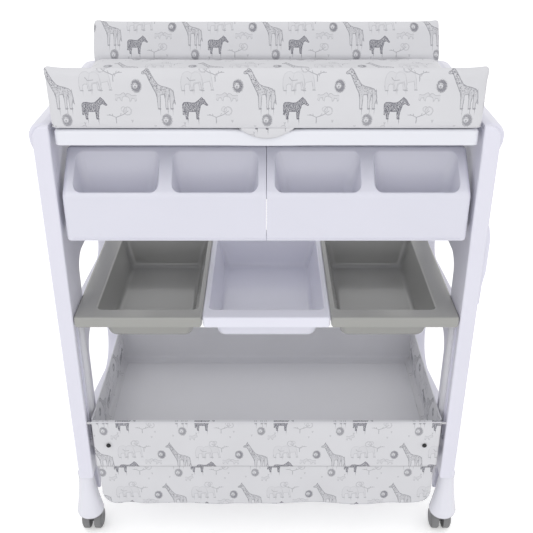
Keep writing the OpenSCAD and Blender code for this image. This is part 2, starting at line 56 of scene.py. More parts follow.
class Graph:
    """A material's or group's nodes, made from short calls. A value is a number or an output socket."""

    def __init__(self, tree):
        self.tree = tree

    def node(self, kind, **settings):
        n = self.tree.nodes.new(kind)
        for key, value in settings.items():
            setattr(n, key, value)
        return n

    def put(self, value, socket):
        if isinstance(value, bpy.types.NodeSocket):
            self.tree.links.new(value, socket)
        else:
            socket.default_value = value

    def math(self, operation, a, b=0.0, c=0.0, clamp=False):
        n = self.node("ShaderNodeMath", operation=operation, use_clamp=clamp)
        for value, socket in zip((a, b, c), n.inputs):
            self.put(value, socket)
        return n.outputs[0]

    def add(self, a, b):
        return self.math("ADD", a, b)

    def sub(self, a, b):
        return self.math("SUBTRACT", a, b)

    def mul(self, a, b):
        return self.math("MULTIPLY", a, b)

    def low(self, *values):
        result = values[0]
        for v in values[1:]:
            result = self.math("MINIMUM", result, v)
        return result

    def high(self, *values):
        result = values[0]
        for v in values[1:]:
            result = self.math("MAXIMUM", result, v)
        return result

    def ramp(self, value, low, high, out_low=0.0, out_high=1.0):
        """Clamped straight line from (low, out_low) to (high, out_high)."""
        n = self.node("ShaderNodeMapRange", clamp=True)
        for socket, v in zip(n.inputs, (value, low, high, out_low, out_high)):
            self.put(v, socket)
        return n.outputs[0]

    def split(self, vector):
        n = self.node("ShaderNodeSeparateXYZ")
        self.put(vector, n.inputs[0])
        return n.outputs

    def join(self, x, y, z=0.0):
        n = self.node("ShaderNodeCombineXYZ")
        for value, socket in zip((x, y, z), n.inputs):
            self.put(value, socket)
        return n.outputs[0]

    def noise(self, vector, scale, detail=2.0, rough=0.5, distortion=0.0):
        n = self.node("ShaderNodeTexNoise")
        self.put(vector, n.inputs["Vector"])
        settings = {"Scale": scale, "Detail": detail, "Roughness": rough, "Distortion": distortion}
        for name, v in settings.items():
            n.inputs[name].default_value = v
        return n.outputs["Fac"]

    def stretch(self, vector, scale):
        n = self.node("ShaderNodeVectorMath", operation="MULTIPLY")
        self.put(vector, n.inputs[0])
        n.inputs[1].default_value = scale
        return n.outputs[0]

    def mix(self, factor, a, b):
        n = self.node("ShaderNodeMix", data_type="RGBA")
        self.put(factor, n.inputs["Factor"])
        for value, socket in ((a, n.inputs[6]), (b, n.inputs[7])):
            if isinstance(value, bpy.types.NodeSocket):
                self.tree.links.new(value, socket)
            else:
                socket.default_value = (*value, 1)
        return n.outputs[2]

    def bump(self, height, strength, distance, normal=None):
        n = self.node("ShaderNodeBump")
        n.inputs["Strength"].default_value = strength
        n.inputs["Distance"].default_value = distance
        self.put(height, n.inputs["Height"])
        if normal is not None:
            self.put(normal, n.inputs["Normal"])
        return n.outputs[0]

    def place(self):
        """Object coordinates in metres. A piece's origin is the model's, so the grain keeps its real size."""
        return self.node("ShaderNodeTexCoord").outputs["Object"]


def shade(rgb, factor):
    return tuple(min(1.0, c * factor) for c in rgb)


def new_material(name):
    m = bpy.data.materials.new(name)
    m.use_nodes = True
    g = Graph(m.node_tree)
    shader = m.node_tree.nodes["Principled BSDF"]
    return m, g, shader


def moulded(name, rgb, rough, grain=0.02, spread=0.014, coat=0.0):
    """Moulded plastic: faint flow marks in the colour, an uneven gloss and a fine orange-peel grain."""
    m, g, s = new_material(name)
    p = g.place()
    flow = g.noise(p, 5.0, 3.0, 0.55, 0.6)
    tones = shade(rgb, 1 - spread), shade(rgb, 1 + spread * 0.5)
    g.put(g.mix(g.ramp(flow, 0.3, 0.7), *tones), s.inputs["Base Color"])
    dust = g.noise(p, 12.0, 1.0, 0.5)
    g.put(g.ramp(dust, 0.25, 0.75, rough * 0.95, rough * 1.08), s.inputs["Roughness"])
    waves = g.noise(p, 14.0, 1.0)
    peel = g.noise(p, 900.0, 2.0)
    soft = g.bump(waves, 0.06, 0.0003)
    g.put(g.bump(peel, grain * 4, 0.00005, soft), s.inputs["Normal"])
    s.inputs["IOR"].default_value = 1.5
    s.inputs["Coat Weight"].default_value = coat
    s.inputs["Coat Roughness"].default_value = 0.12
    return m


def metal(name, rgb, rough, along=(1.0, 1.0, 1.0)):
    """Zinc-plated or drawn steel, with a grain that is stretched along the piece."""
    m, g, s = new_material(name)
    p = g.place()
    streak = g.noise(g.stretch(p, tuple(420 * a for a in along)), 1.0, 3.0, 0.6)
    spangle = g.noise(p, 60.0, 3.0, 0.6)
    g.put(g.mix(g.ramp(spangle, 0.3, 0.7), shade(rgb, 0.86), rgb), s.inputs["Base Color"])
    g.put(g.ramp(streak, 0.2, 0.8, rough * 0.7, rough * 1.4), s.inputs["Roughness"])
    g.put(g.bump(streak, 0.12, 0.00005), s.inputs["Normal"])
    s.inputs["Metallic"].default_value = 1.0
    return m


materials = {
    "frame": moulded("frame_white", (0.765, 0.76, 0.855), 0.31, coat=0.2),
    "bath": moulded("bath_white", (0.80, 0.81, 0.87), 0.22, coat=0.35),
    # Organizer plastic is the bath's white made darker all over: painted shade standing in for the shade on
    # the organizers' upright fronts
    "organizer": moulded("organizer_white_painted_shade", (0.72, 0.72, 0.81), 0.24, coat=0.2),
    "tray_white": moulded("tray_white", (0.80, 0.80, 0.895), 0.20, coat=0.35),
    "tray_grey": moulded("tray_grey", (0.36, 0.36, 0.345), 0.18, coat=0.4),
    "tube": moulded("white_powder_coat", (0.70, 0.70, 0.74), 0.35, grain=0.05),
    "board": moulded("base_board", (0.77, 0.77, 0.80), 0.42, grain=0.05),
    "foot": moulded("foot_white", (0.79, 0.79, 0.86), 0.24, coat=0.3),
    "caster": moulded("caster_grey", (0.20, 0.20, 0.205), 0.38, grain=0.05, spread=0.04),
    "wheel": moulded("wheel_grey", (0.22, 0.22, 0.225), 0.45, grain=0.06, spread=0.05),
    "rubber": moulded("plug_rubber", (0.05, 0.05, 0.055), 0.6, grain=0.08, spread=0.05),
    "snap": moulded("snap_black", (0.012, 0.012, 0.014), 0.3),
    "steel": metal("zinc_steel", (0.60, 0.60, 0.62), 0.28, (0.1, 1.0, 1.0)),
}


# ---- The animal print ----

TILE = (168.0, 120.0)  # repeat of the print, in millimetres


def curve_at(g, x, width, height, points):
    """Height in millimetres of a drawn line at x, from a few (x, y) points in millimetres."""
    n = g.node("ShaderNodeFloatCurve")
    line = n.mapping.curves[0]
    ends = [(points[0][0], points[0][1]), (points[-1][0], points[-1][1])]
    line.points[0].location = (ends[0][0] / width, ends[0][1] / height)
    line.points[1].location = (ends[1][0] / width, ends[1][1] / height)
    for px, py in points[1:-1]:
        line.points.new(px / width, py / height)
    for p in line.points:
        p.handle_type = "VECTOR"
    n.mapping.update()
    g.put(g.mul(x, 1 / width), n.inputs["Value"])
    return g.mul(n.outputs[0], height)


def animal(g, x, y, width, height, top, bottom, line):
    """(how far inside a silhouette a point is, how dark its outline is). x and y start at its lower left."""
    step = 0.6
    t, t2 = (curve_at(g, v, width, height, top) for v in (x, g.add(x, step)))
    b, b2 = (curve_at(g, v, width, height, bottom) for v in (x, g.add(x, step)))

    def off(at, beside):
        slope = g.mul(g.sub(beside, at), 1 / step)
        return g.math("DIVIDE", g.sub(y, at), g.math("SQRT", g.add(g.mul(slope, slope), 1.0)))

    over, under = off(t, t2), off(b, b2)
    ends = g.low(x, g.sub(width, x))
    inside = g.low(g.mul(over, -1.0), under, ends)
    near = g.low(g.math("ABSOLUTE", over), g.math("ABSOLUTE", under))
    in_box = g.low(g.ramp(x, -0.2, 0.2), g.ramp(g.sub(width, x), -0.2, 0.2))
    in_box = g.low(in_box, g.ramp(inside, -1.2, -0.6))
    return g.ramp(inside, 0.0, 0.4), g.mul(in_box, g.ramp(near, line * 0.4, line, 1.0, 0.0))


GIRAFFE_TOP = [(0, 66.5), (1.5, 69), (6, 72), (8, 77), (9, 79), (10, 74.5), (12, 72), (15, 66), (20, 56),
    (26, 46.5), (32, 43), (40, 41), (47, 38), (51, 33), (52.5, 20), (53.4, 12), (54, 10)]
GIRAFFE_LOW = [(0, 66), (2, 65), (7, 65.5), (9, 62), (13, 52), (18, 40), (22, 31), (24, 22), (25, 1),
    (25.6, 0), (28.4, 0), (28.8, 12), (30, 27), (36, 28), (37.5, 20), (38, 1), (38.6, 0), (41.2, 0),
    (41.6, 16), (43.5, 27), (45, 22), (45.6, 1), (46.4, 0), (49.4, 0), (49.8, 10), (52, 18), (53, 11),
    (54, 9.5)]
ZEBRA_TOP = [(0, 24), (1, 30), (3, 33), (9, 33.5), (16, 32), (22, 32.5), (26, 36), (30, 40), (32.5, 43),
    (34, 41), (37, 38), (40, 32), (42, 29.5), (43, 29)]
ZEBRA_LOW = [(0, 10), (1.5, 9), (2.6, 10), (4, 17), (5, 11), (5.6, 1), (6.2, 0), (8.6, 0), (9, 8),
    (10.5, 15.5), (17, 15), (22.5, 15.5), (23.5, 1), (24.2, 0), (26.8, 0), (27.2, 10), (28.5, 19), (31, 28),
    (35, 31), (38, 29), (41, 27), (43, 28)]
ELEPHANT_TOP = [(0, 12), (1, 22), (3, 29), (7, 33), (13, 34), (18, 31), (21, 32), (26, 33), (31, 31),
    (34, 27), (36, 16), (37, 5), (38, 4.5)]
ELEPHANT_LOW = [(0, 11), (1.6, 1), (2.2, 0), (6, 0), (6.6, 10), (9, 12.5), (14, 12), (15, 1), (15.6, 0),
    (20, 0), (20.6, 9), (22, 14), (27, 15), (32, 16), (33.5, 9), (34.5, 2), (36.5, 1), (37.5, 3.5), (38, 4)]
CUB_TOP = [(0, 9), (2, 10), (5, 9), (9, 9.5), (12, 12), (15, 13), (17, 11), (18, 8)]
CUB_LOW = [(0, 3), (1, 0), (3, 0), (4, 4), (8, 4.5), (9.5, 0), (11.5, 0), (12.5, 5), (15, 7), (18, 7)]


def capsule(g, x, y, a, b, radius):
    """How dark a short brush stroke from a to b is."""
    length = math.dist(a, b)
    dx, dy = (b[0] - a[0]) / length, (b[1] - a[1]) / length
    px, py = g.sub(x, a[0]), g.sub(y, a[1])
    along = g.math("MULTIPLY", px, dx)
    along = g.math("MULTIPLY_ADD", py, dy, along)
    along = g.math("MINIMUM", g.math("MAXIMUM", along, 0.0), length)
    ex, ey = g.sub(px, g.mul(along, dx)), g.sub(py, g.mul(along, dy))
    d = g.math("SQRT", g.add(g.mul(ex, ex), g.mul(ey, ey)))
    return g.ramp(d, radius * 0.5, radius * 1.2, 1.0, 0.0)


def disc(g, x, y, cx, cy, squeeze_x, squeeze_y):
    """Distance from a centre, squeezed along each axis."""
    dx, dy = g.mul(g.sub(x, cx), squeeze_x), g.mul(g.sub(y, cy), squeeze_y)
    return g.math("SQRT", g.add(g.mul(dx, dx), g.mul(dy, dy)))


def print_group():
    """Node group: cloth coordinates in metres to the darkness of a hand-drawn safari print."""
    tree = bpy.data.node_groups.new("safari_print", "ShaderNodeTree")
    tree.interface.new_socket("Cloth", in_out="INPUT", socket_type="NodeSocketVector")
    tree.interface.new_socket("Ink", in_out="OUTPUT", socket_type="NodeSocketFloat")
    g = Graph(tree)
    cloth = g.node("NodeGroupInput").outputs[0]
    u, v, _ = g.split(g.stretch(cloth, (1000.0, 1000.0, 0.0)))
    place = g.join(u, v)
    wobble = g.mul(g.sub(g.noise(place, 0.35, 2.0), 0.5), 1.6)
    tile_x = g.math("WRAP", g.add(u, wobble), TILE[0], 0.0)
    tile_y = g.math("WRAP", v, TILE[1], 0.0)
    sketch = g.noise(place, 0.9, 3.0, 0.7)
    pressure = g.ramp(sketch, 0.3, 0.7, 0.72, 1.0)

    def at(x0, y0, flip=None, tall=1.0):
        """Coordinates from a lower left corner, wrapped so that a drawing may cross the tile's edge."""
        x = g.math("WRAP", g.sub(tile_x, x0), TILE[0] - 30.0, -30.0)
        y = g.math("WRAP", g.sub(tile_y, y0), TILE[1] - 20.0, -20.0)
        return (g.sub(flip, x) if flip else x), g.mul(y, 1 / tall)

    layers = []

    def strokes(x, y, dark, *lines):
        """Adds brush strokes of (start, end, radius)."""
        layers.extend(g.mul(capsule(g, x, y, *line), dark) for line in lines)

    # Giraffe with a spotted neck and body
    x, y = at(2.0, 45.0, tall=0.9)
    fill, edge = animal(g, x, y, 54.0, 80.0, GIRAFFE_TOP, GIRAFFE_LOW, 0.9)
    spots = g.node("ShaderNodeTexVoronoi", feature="DISTANCE_TO_EDGE")
    g.put(place, spots.inputs["Vector"])
    spots.inputs["Scale"].default_value = 0.34
    patch = g.ramp(spots.outputs["Distance"], 0.08, 0.2)
    fade = g.ramp(y, 18.0, 46.0, 0.14, 0.85)
    layers += [g.mul(edge, 0.7), g.mul(g.mul(fill, patch), fade), g.mul(fill, 0.13)]
    strokes(x, y, 0.6, *(((a, 1), (a + 3, 1), 1.4) for a in (25.5, 38.5, 46.5)))

    # Zebra with dark wavy stripes
    x, y = at(67.0, 28.0, tall=0.86)
    fill, edge = animal(g, x, y, 43.0, 44.0, ZEBRA_TOP, ZEBRA_LOW, 0.9)
    bend = g.mul(g.sub(g.noise(place, 0.22, 2.0), 0.5), 9.0)
    wave = g.math("SINE", g.mul(g.add(g.add(x, bend), g.mul(y, 0.25)), 2.6))
    stripes = g.ramp(wave, -0.5, 0.3, 0.3, 1.0)
    layers += [g.mul(fill, stripes), g.mul(edge, 1.0)]
    strokes(x, y, 0.9, *(((a, 1), (a + 2, 1), 1.3) for a in (6.4, 24.6)))

    # Two elephants, one behind the other, in outline
    for x0, y0, dark in ((66.0, 76.0, 0.4), (82.0, 77.0, 0.34)):
        x, y = at(x0, y0, tall=0.92)
        fill, edge = animal(g, x, y, 38.0, 35.0, ELEPHANT_TOP, ELEPHANT_LOW, 0.8)
        low_dark = g.ramp(y, 8.0, 28.0, 1.0, 0.45)
        layers += [g.mul(g.mul(edge, dark), low_dark), g.mul(fill, 0.05)]
        strokes(x, y, dark * 1.3, *(((a, 0.5), (a + 4, 0.5), 1.1) for a in (2, 15.5, 34)))
    x, y = at(66.0, 76.0)
    strokes(x, y, 0.5, ((11, 22), (15, 17), 0.7), ((15, 17), (24, 18), 0.7))

    # Lions' heads: a ragged dark mane, open at the face, with eyes, nose and mouth
    for x0, y0, deep in ((151.0, 71.0, 1.0), (31.0, 13.0, 0.85)):
        x, y = at(x0, y0)
        rag = g.mul(g.sub(g.noise(place, 0.8, 4.0, 0.75), 0.5), 13.0)
        outer = disc(g, x, y, 9.5, 13.0, 1.0, 0.78)
        bite = disc(g, x, y, 7.6, 13.6, 1.0, 0.85)
        face = g.ramp(g.add(bite, g.mul(rag, 0.45)), 3.2, 4.8)
        mane = g.mul(g.ramp(g.add(outer, rag), 7.6, 9.0, 1.0, 0.0), face)
        hairs = g.ramp(g.noise(g.stretch(place, (1.0, 0.35, 1.0)), 1.6, 2.0, 0.7), 0.36, 0.6, 0.45, 1.0)
        layers.append(g.mul(g.mul(mane, hairs), deep))
        strokes(x, y, 0.7 * deep, ((5.2, 15.8), (6.2, 16.0), 0.7), ((8.8, 16.0), (9.8, 15.8), 0.7),
                ((6.6, 12.6), (8.4, 12.6), 0.9), ((7.5, 12.4), (7.5, 10.6), 0.5),
                ((6.0, 10.2), (9.0, 10.2), 0.5), ((3.0, 19.5), (4.6, 21.0), 0.9))
    for x0, y0, flip in ((124.0, 60.0, None), (142.0, 59.0, 18.0), (54.0, 4.0, None)):
        x, y = at(x0, y0, flip)
        fill, edge = animal(g, x, y, 18.0, 14.0, CUB_TOP, CUB_LOW, 0.7)
        layers += [g.mul(edge, 0.4), g.mul(fill, 0.08)]

    # Thin trees with flat crowns
    for x0, y0, flip in ((96.0, 92.0, None), (108.0, 21.0, 42.0)):
        x, y = at(x0, y0, flip)
        strokes(x, y, 0.55, ((27, 0), (27, 10), 0.8), ((27, 10), (14, 15), 0.7), ((27, 10), (38, 15), 0.6),
                ((14, 15), (6, 21), 0.6), ((34, 13.5), (42, 14), 0.5), ((20, 12.4), (18, 17), 0.5),
                ((32, 12.4), (33, 16), 0.5))
        leaves = g.mul(g.sub(g.noise(place, 0.6, 3.0, 0.8), 0.5), 1.0)
        for cx, cy, rx, ry in ((7, 21, 7.5, 8), (13, 24, 5, 5)):
            crown = g.add(disc(g, x, y, cx, cy, 1 / rx, 1 / ry), leaves)
            layers.append(g.mul(g.ramp(g.math("ABSOLUTE", g.sub(crown, 0.85)), 0.04, 0.16, 1.0, 0.0), 0.36))

    # Tufts of grass
    for tx, ty in ((126.0, 100.0), (70.0, 18.0), (20.0, 12.0), (150.0, 22.0), (142.0, 8.0)):
        x, y = at(tx, ty)
        strokes(x, y, 0.34, *(((0, 0), (lean, 4.5), 0.5) for lean in (-1.5, 0.0, 1.8)))

    ink = g.mul(g.high(*layers), pressure)
    g.tree.links.new(ink, g.node("NodeGroupOutput").inputs[0])
    return tree


def coated_cloth(name, rgb, ink=None):
    """Wipe-clean coated cloth: a fine weave under the coating, soft creases and, if asked, the print."""
    m, g, s = new_material(name)
    cloth = g.node("ShaderNodeAttribute", attribute_name="cloth").outputs["Vector"]
    p = g.place()
    mottled = g.mix(g.ramp(g.noise(p, 9.0, 3.0), 0.3, 0.7), shade(rgb, 0.965), rgb)
    colour = mottled
    if ink is not None:
        group = g.node("ShaderNodeGroup")
        group.node_tree = print_tree
        g.put(cloth, group.inputs[0])
        colour = g.mix(group.outputs[0], mottled, ink)
    g.put(colour, s.inputs["Base Color"])
    u, v, _ = g.split(g.stretch(cloth, (1000.0, 1000.0, 0.0)))
    warp = g.math("SINE", g.mul(u, 7.0))
    weft = g.math("SINE", g.mul(v, 7.0))
    weave = g.mul(warp, weft)
    creases = g.noise(p, 22.0, 4.0, 0.6, 0.8)
    soft = g.bump(creases, 0.35, 0.0012)
    g.put(g.bump(weave, 0.22, 0.00008, soft), s.inputs["Normal"])
    g.put(g.ramp(creases, 0.3, 0.7, 0.42, 0.56), s.inputs["Roughness"])
    s.inputs["Sheen Weight"].default_value = 0.08
    s.inputs["Sheen Roughness"].default_value = 0.5
    s.inputs["Coat Weight"].default_value = 0.05
    s.inputs["Coat Roughness"].default_value = 0.35
    return m


print_tree = print_group()
INK = (0.045, 0.045, 0.075)
materials["print"] = coated_cloth("printed_cloth", (0.69, 0.69, 0.72), INK)
materials["plain"] = coated_cloth("plain_cloth", (0.71, 0.71, 0.745))


# ---- Mesh tools ----

def clamped(value):
    return min(1.0, max(0.0, value))


@contextmanager
def editing(ob):
    """Opens a piece's mesh for changes and writes it back."""
    bm = bmesh.new()
    bm.from_mesh(ob.data)
    yield bm
    bm.to_mesh(ob.data)
    bm.free()


def linked(name, data):
    """New object in the scene."""
    ob = bpy.data.objects.new(name, data)
    bpy.context.scene.collection.objects.link(ob)
    return ob


def mesh_of_curve(name, data):
    """Mesh of a curve, which isn't kept."""
    ob = linked(name, data)
    bpy.context.view_layer.update()
    mesh = bpy.data.meshes.new_from_object(ob.evaluated_get(bpy.context.evaluated_depsgraph_get()))
    bpy.data.objects.remove(ob)
    return mesh


def offsets(a, b, *steps):
    """Points in metres from their offsets in millimetres from (a, b)."""
    return [(a + da * MM, b + db * MM) for da, db in steps]


def settle(ob, angle=35.0):
    """Outward normals, and smooth shading that stays sharp at real edges."""
    with editing(ob) as bm:
        bmesh.ops.recalc_face_normals(bm, faces=bm.faces)
    smooth(ob, angle)
    return ob


def smooth(ob, angle=35.0):
    for f in ob.data.polygons:
        f.use_smooth = True
    ob.data.set_sharp_from_angle(angle=math.radians(angle))


def mesh_object(name, points, faces):
    mesh = bpy.data.meshes.new(name)
    mesh.from_pydata([tuple(p) for p in points], [], faces)
    return linked(name, mesh)


def baked(ob):
    """Applies every modifier of a new piece."""
    bpy.context.view_layer.update()
    graph = bpy.context.evaluated_depsgraph_get()
    mesh = bpy.data.meshes.new_from_object(ob.evaluated_get(graph), preserve_all_data_layers=True,
                                           depsgraph=graph)
    ob.modifiers.clear()
    old = ob.data
    ob.data = mesh
    if isinstance(old, bpy.types.Mesh):
        bpy.data.meshes.remove(old)
    return ob


def modify(ob, kind, **settings):
    m = ob.modifiers.new(kind.lower(), kind)
    for key, value in settings.items():
        setattr(m, key, value)
    return m


def loft(name, rings, start=True, end=True):
    """Skin over rings that have equally many points each, with flat ends where asked."""
    count = len(rings[0])
    points = [p for ring in rings for p in ring]
    faces = []
    for k in range(len(rings) - 1):
        a, b = k * count, (k + 1) * count
        faces += [(a + i, a + (i + 1) % count, b + (i + 1) % count, b + i) for i in range(count)]
    if start:
        faces.append(tuple(range(count))[::-1])
    if end:
        faces.append(tuple(range(len(points) - count, len(points))))
    return mesh_object(name, points, faces)


def lathe(name, profile, centre, axis=2, steps=56):
    """Turned piece: profile is [(radius, height along the axis)], closed where the radius is 0."""
    others = [(axis + 1) % 3, (axis + 2) % 3]
    points, faces = [], []
    for radius, height in profile:
        for i in range(steps):
            p = Vector(centre)
            p[axis] += height
            p[others[0]] += radius * math.cos(math.tau * i / steps)
            p[others[1]] += radius * math.sin(math.tau * i / steps)
            points.append(p)
    for k in range(len(profile) - 1):
        a, b = k * steps, (k + 1) * steps
        faces += [(a + i, a + (i + 1) % steps, b + (i + 1) % steps, b + i) for i in range(steps)]
    ob = mesh_object(name, points, faces)
    with editing(ob) as bm:
        bmesh.ops.remove_doubles(bm, verts=bm.verts, dist=SAME)
        bmesh.ops.holes_fill(bm, edges=bm.edges, sides=0)
    return settle(ob)


def joined(name, objects):
    """One piece out of several meshes."""
    bm = bmesh.new()
    for ob in objects:
        bm.from_mesh(ob.data)
        bpy.data.objects.remove(ob)
    mesh = bpy.data.meshes.new(name)
    bm.to_mesh(mesh)
    bm.free()
    return linked(name, mesh)


def cap_outlines(node, axis, side):
    """Outlines of a node's flat face at the low (0) or high (1) end of an axis, in the two axes after it."""
    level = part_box(node)[side][axis]
    bm = bmesh.new()
    bm.from_mesh(nodes[node].data)
    bmesh.ops.remove_doubles(bm, verts=bm.verts, dist=SAME)
    cap = {f for f in bm.faces if all(abs(v.co[axis] - level) < 2e-5 for v in f.verts)}
    border = [e for e in bm.edges if len(cap.intersection(e.link_faces)) == 1]
    after = {}
    for e in border:
        face = cap.intersection(e.link_faces).pop()
        for loop in face.loops:
            if loop.edge == e:
                after[loop.vert] = loop.link_loop_next.vert
    outlines = []
    while after:
        v = next(iter(after))
        line = []
        while v in after:
            line.append((v.co[(axis + 1) % 3], v.co[(axis + 2) % 3]))
            v = after.pop(v)
        outlines.append(line)
    bm.free()
    return outlines


def area_of(line):
    return sum(a[0] * b[1] - b[0] * a[1] for a, b in zip(line, line[1:] + line[:1])) / 2


def slab(name, outlines, axis, low, high, edge, steps=3):
    """Plate between low and high along an axis, with every edge rounded to the radius edge."""
    data = bpy.data.curves.new(name, "CURVE")
    data.dimensions = "2D"
    data.fill_mode = "BOTH"
    data.extrude = (high - low) / 2 - edge
    data.bevel_depth = edge
    data.bevel_resolution = steps
    data.offset = -edge
    outer = max(outlines, key=lambda line: abs(area_of(line)))
    for line in outlines:
        clockwise = area_of(line) < 0
        if clockwise == (line is outer):
            line = line[::-1]
        spline = data.splines.new("POLY")
        spline.points.add(len(line) - 1)
        for p, (a, b) in zip(spline.points, line):
            p.co = (a, b, 0, 1)
        spline.use_cyclic_u = True
    mesh = mesh_of_curve(name, data)
    columns = [Vector((0, 0, 0)) for _ in range(3)]
    for local, world in enumerate(((axis + 1) % 3, (axis + 2) % 3, axis)):
        columns[local][world] = 1
    turn = Matrix(columns).transposed().to_4x4()
    shift = Vector((0, 0, 0))
    shift[axis] = (low + high) / 2
    mesh.transform(Matrix.Translation(shift) @ turn)
    mesh.name = name
    ob = linked(name, mesh)
    with editing(ob) as bm:
        bmesh.ops.remove_doubles(bm, verts=bm.verts, dist=SAME)
    return settle(ob)


def cleaned(ob):
    """Welds points that coincide and takes out faces without area."""
    with editing(ob) as bm:
        bmesh.ops.remove_doubles(bm, verts=bm.verts, dist=SLIVER)
        bmesh.ops.dissolve_degenerate(bm, edges=bm.edges, dist=SLIVER)
    return ob


def cut(ob, *tools):
    """Takes the tools' volumes out of a piece, and stops the script if Blender left the piece whole."""
    whole = len(ob.data.vertices)
    for tool in tools:
        modify(ob, "BOOLEAN", operation="DIFFERENCE", solver="MANIFOLD", object=tool)
    baked(ob)
    if len(ob.data.vertices) == whole:
        raise RuntimeError(f"nothing was cut out of {ob.name}")
    for tool in tools:
        bpy.data.objects.remove(tool)
    return cleaned(ob)


def rod(name, a, b, radius, steps=32):
    """Round bar between two points."""
    a, b = Vector(a), Vector(b)
    turn = (b - a).to_track_quat("Z", "Y").to_matrix()
    circle = [math.tau * i / steps for i in range(steps)]
    rings = [[end + turn @ Vector((radius * math.cos(t), radius * math.sin(t), 0)) for t in circle]
             for end in (a, b)]
    return settle(loft(name, rings))


def block(name, low, high):
    """Plain box, used as a cutting tool."""
    xs, ys, zs = zip(low, high)
    rings = [[(xs[0], ys[0], z), (xs[1], ys[0], z), (xs[1], ys[1], z), (xs[0], ys[1], z)] for z in zs]
    return settle(loft(name, rings))


def round_rect(low, high, radius, corner=8, side=(1, 1)):
    """Points of a rounded rectangle, anticlockwise, in corner steps at each corner and side steps between."""
    (x0, y0), (x1, y1) = low, high
    centres = [((x1 - radius, y0 + radius), -90), ((x1 - radius, y1 - radius), 0),
               ((x0 + radius, y1 - radius), 90), ((x0 + radius, y0 + radius), 180)]
    points = []
    for k, ((cx, cy), start) in enumerate(centres):
        arc = [(cx + radius * math.cos(math.radians(start + 90 * i / corner)),
                cy + radius * math.sin(math.radians(start + 90 * i / corner))) for i in range(corner + 1)]
        points += arc
        (nx, ny), after = centres[(k + 1) % 4]
        first = (nx + radius * math.cos(math.radians(after)), ny + radius * math.sin(math.radians(after)))
        n = side[(k + 1) % 2]
        points += [tuple(p + (q - p) * i / n for p, q in zip(arc[-1], first)) for i in range(1, n)]
    return points


def piece(ob, body, slot, material, *replaced):
    """Gives a new piece its material, hangs it under its body and hides the CAD parts that it stands for."""
    ob.data.materials.clear()
    ob.data.materials.append(materials[material])
    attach(ob, body)
    if replaced:
        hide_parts(*replaced)
    return ob


def evenly_shaded(ob, angle):
    """Smooth shading up to an angle, with flats that stay flat beside rounded edges."""
    smooth(ob, angle)
    modify(ob, "WEIGHTED_NORMAL", keep_sharp=True)


def dress(node, material, bevel=0.0, angle=35.0):
    """Material, and eased edges where asked, for a CAD node whose shape is right."""
    ob = nodes[node]
    ob.data.materials.clear()
    ob.data.materials.append(materials[material])
    if bevel:
        modify(ob, "WELD", merge_threshold=SAME)
        modify(ob, "BEVEL", width=bevel, segments=3, limit_method="ANGLE", angle_limit=math.radians(angle),
               harden_normals=False)
    return ob


def arc(radius, start, stop, steps):
    """(across, up) of an arc's points, for angles in degrees from straight across."""
    return [(radius * math.cos(math.radians(start + (stop - start) * i / steps)),
             radius * math.sin(math.radians(start + (stop - start) * i / steps))) for i in range(steps + 1)]


# ---- Frame ----

SIDES = {"left": -1, "right": 1}
in_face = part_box("side_frame_right")[0].x
front_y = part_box("side_frame_right")[0].y
FRAME_TOP = 940 * MM
LEG_EDGE = 3.5 * MM  # a wider edge makes the panel cross itself
NOSE_DEPTH = 11.7 * MM


def with_nose(outline, top, nose_top, nose_depth):
    """A side frame's outline whose front end rises to the rounded top of the leg."""
    kept = [p for p in outline if p[0] > front_y + nose_depth + 1 * MM or p[1] < top - 60 * MM]
    while kept[0][1] < top - 1 * MM or kept[-1][0] > front_y + 1 * MM:
        kept = kept[1:] + kept[:1]
    r = 6 * MM
    steps = 12
    rise = [(front_y, top - 60 * MM + (nose_top - r - top + 60 * MM) * i / steps) for i in range(steps + 1)]
    corner = [(front_y + r - a, nose_top - r + b) for a, b in arc(r, 0, 90, 6)[1:]]
    back = [(front_y + nose_depth, nose_top), (front_y + nose_depth, top)]
    return kept + rise + corner + back


def side_frame(name, sign):
    node = f"side_frame_{name}"
    low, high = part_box(node)
    outlines = cap_outlines(node, 0, 1 if sign > 0 else 0)
    outer = max(outlines, key=lambda line: abs(area_of(line)))
    clockwise = area_of(outer) < 0
    raised = with_nose(outer if clockwise else outer[::-1], FRAME_TOP, high.z, NOSE_DEPTH)
    lines = [raised] + [line for line in outlines if line is not outer]
    ob = slab(f"leg_panel_{name}", lines, 0, low.x, high.x, LEG_EDGE, 4)
    round_shoulder(ob, sign, high.z)
    tube_low, tube_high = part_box(f"leg_tube_{name}")
    centre = (tube_low + tube_high) / 2
    spare = 0.2 * MM
    tools = [rod("bore", (*centre.xy, tube_low.z - spare), (*centre.xy, tube_high.z + spare),
                 (tube_high.y - tube_low.y) / 2 + 0.3 * MM, 40)]
    groove = sorted((sign * (in_face - 2 * MM), sign * (in_face + 4 * MM)))
    tools.append(block("groove", (groove[0], front_y + 13 * MM, tube_low.z),
                       (groove[1], front_y + 28 * MM, tube_high.z)))
    cut(ob, *tools)
    evenly_shaded(ob, 40)
    piece(ob, "frame", "frame_plastic", "frame", node)


def round_shoulder(ob, sign, top):
    """Draws the outer top corner of the leg's front end in to a large radius."""
    radius = 23 * MM
    width = 30 * MM
    for v in ob.data.vertices:
        over = v.co.z - (top - radius)
        if over > 0 and v.co.y < front_y + NOSE_DEPTH + 0.3 * MM:
            reach = width - radius + math.sqrt(max(0.0, radius ** 2 - over ** 2))
            v.co.x = sign * (in_face + (abs(v.co.x) - in_face) * reach / width)


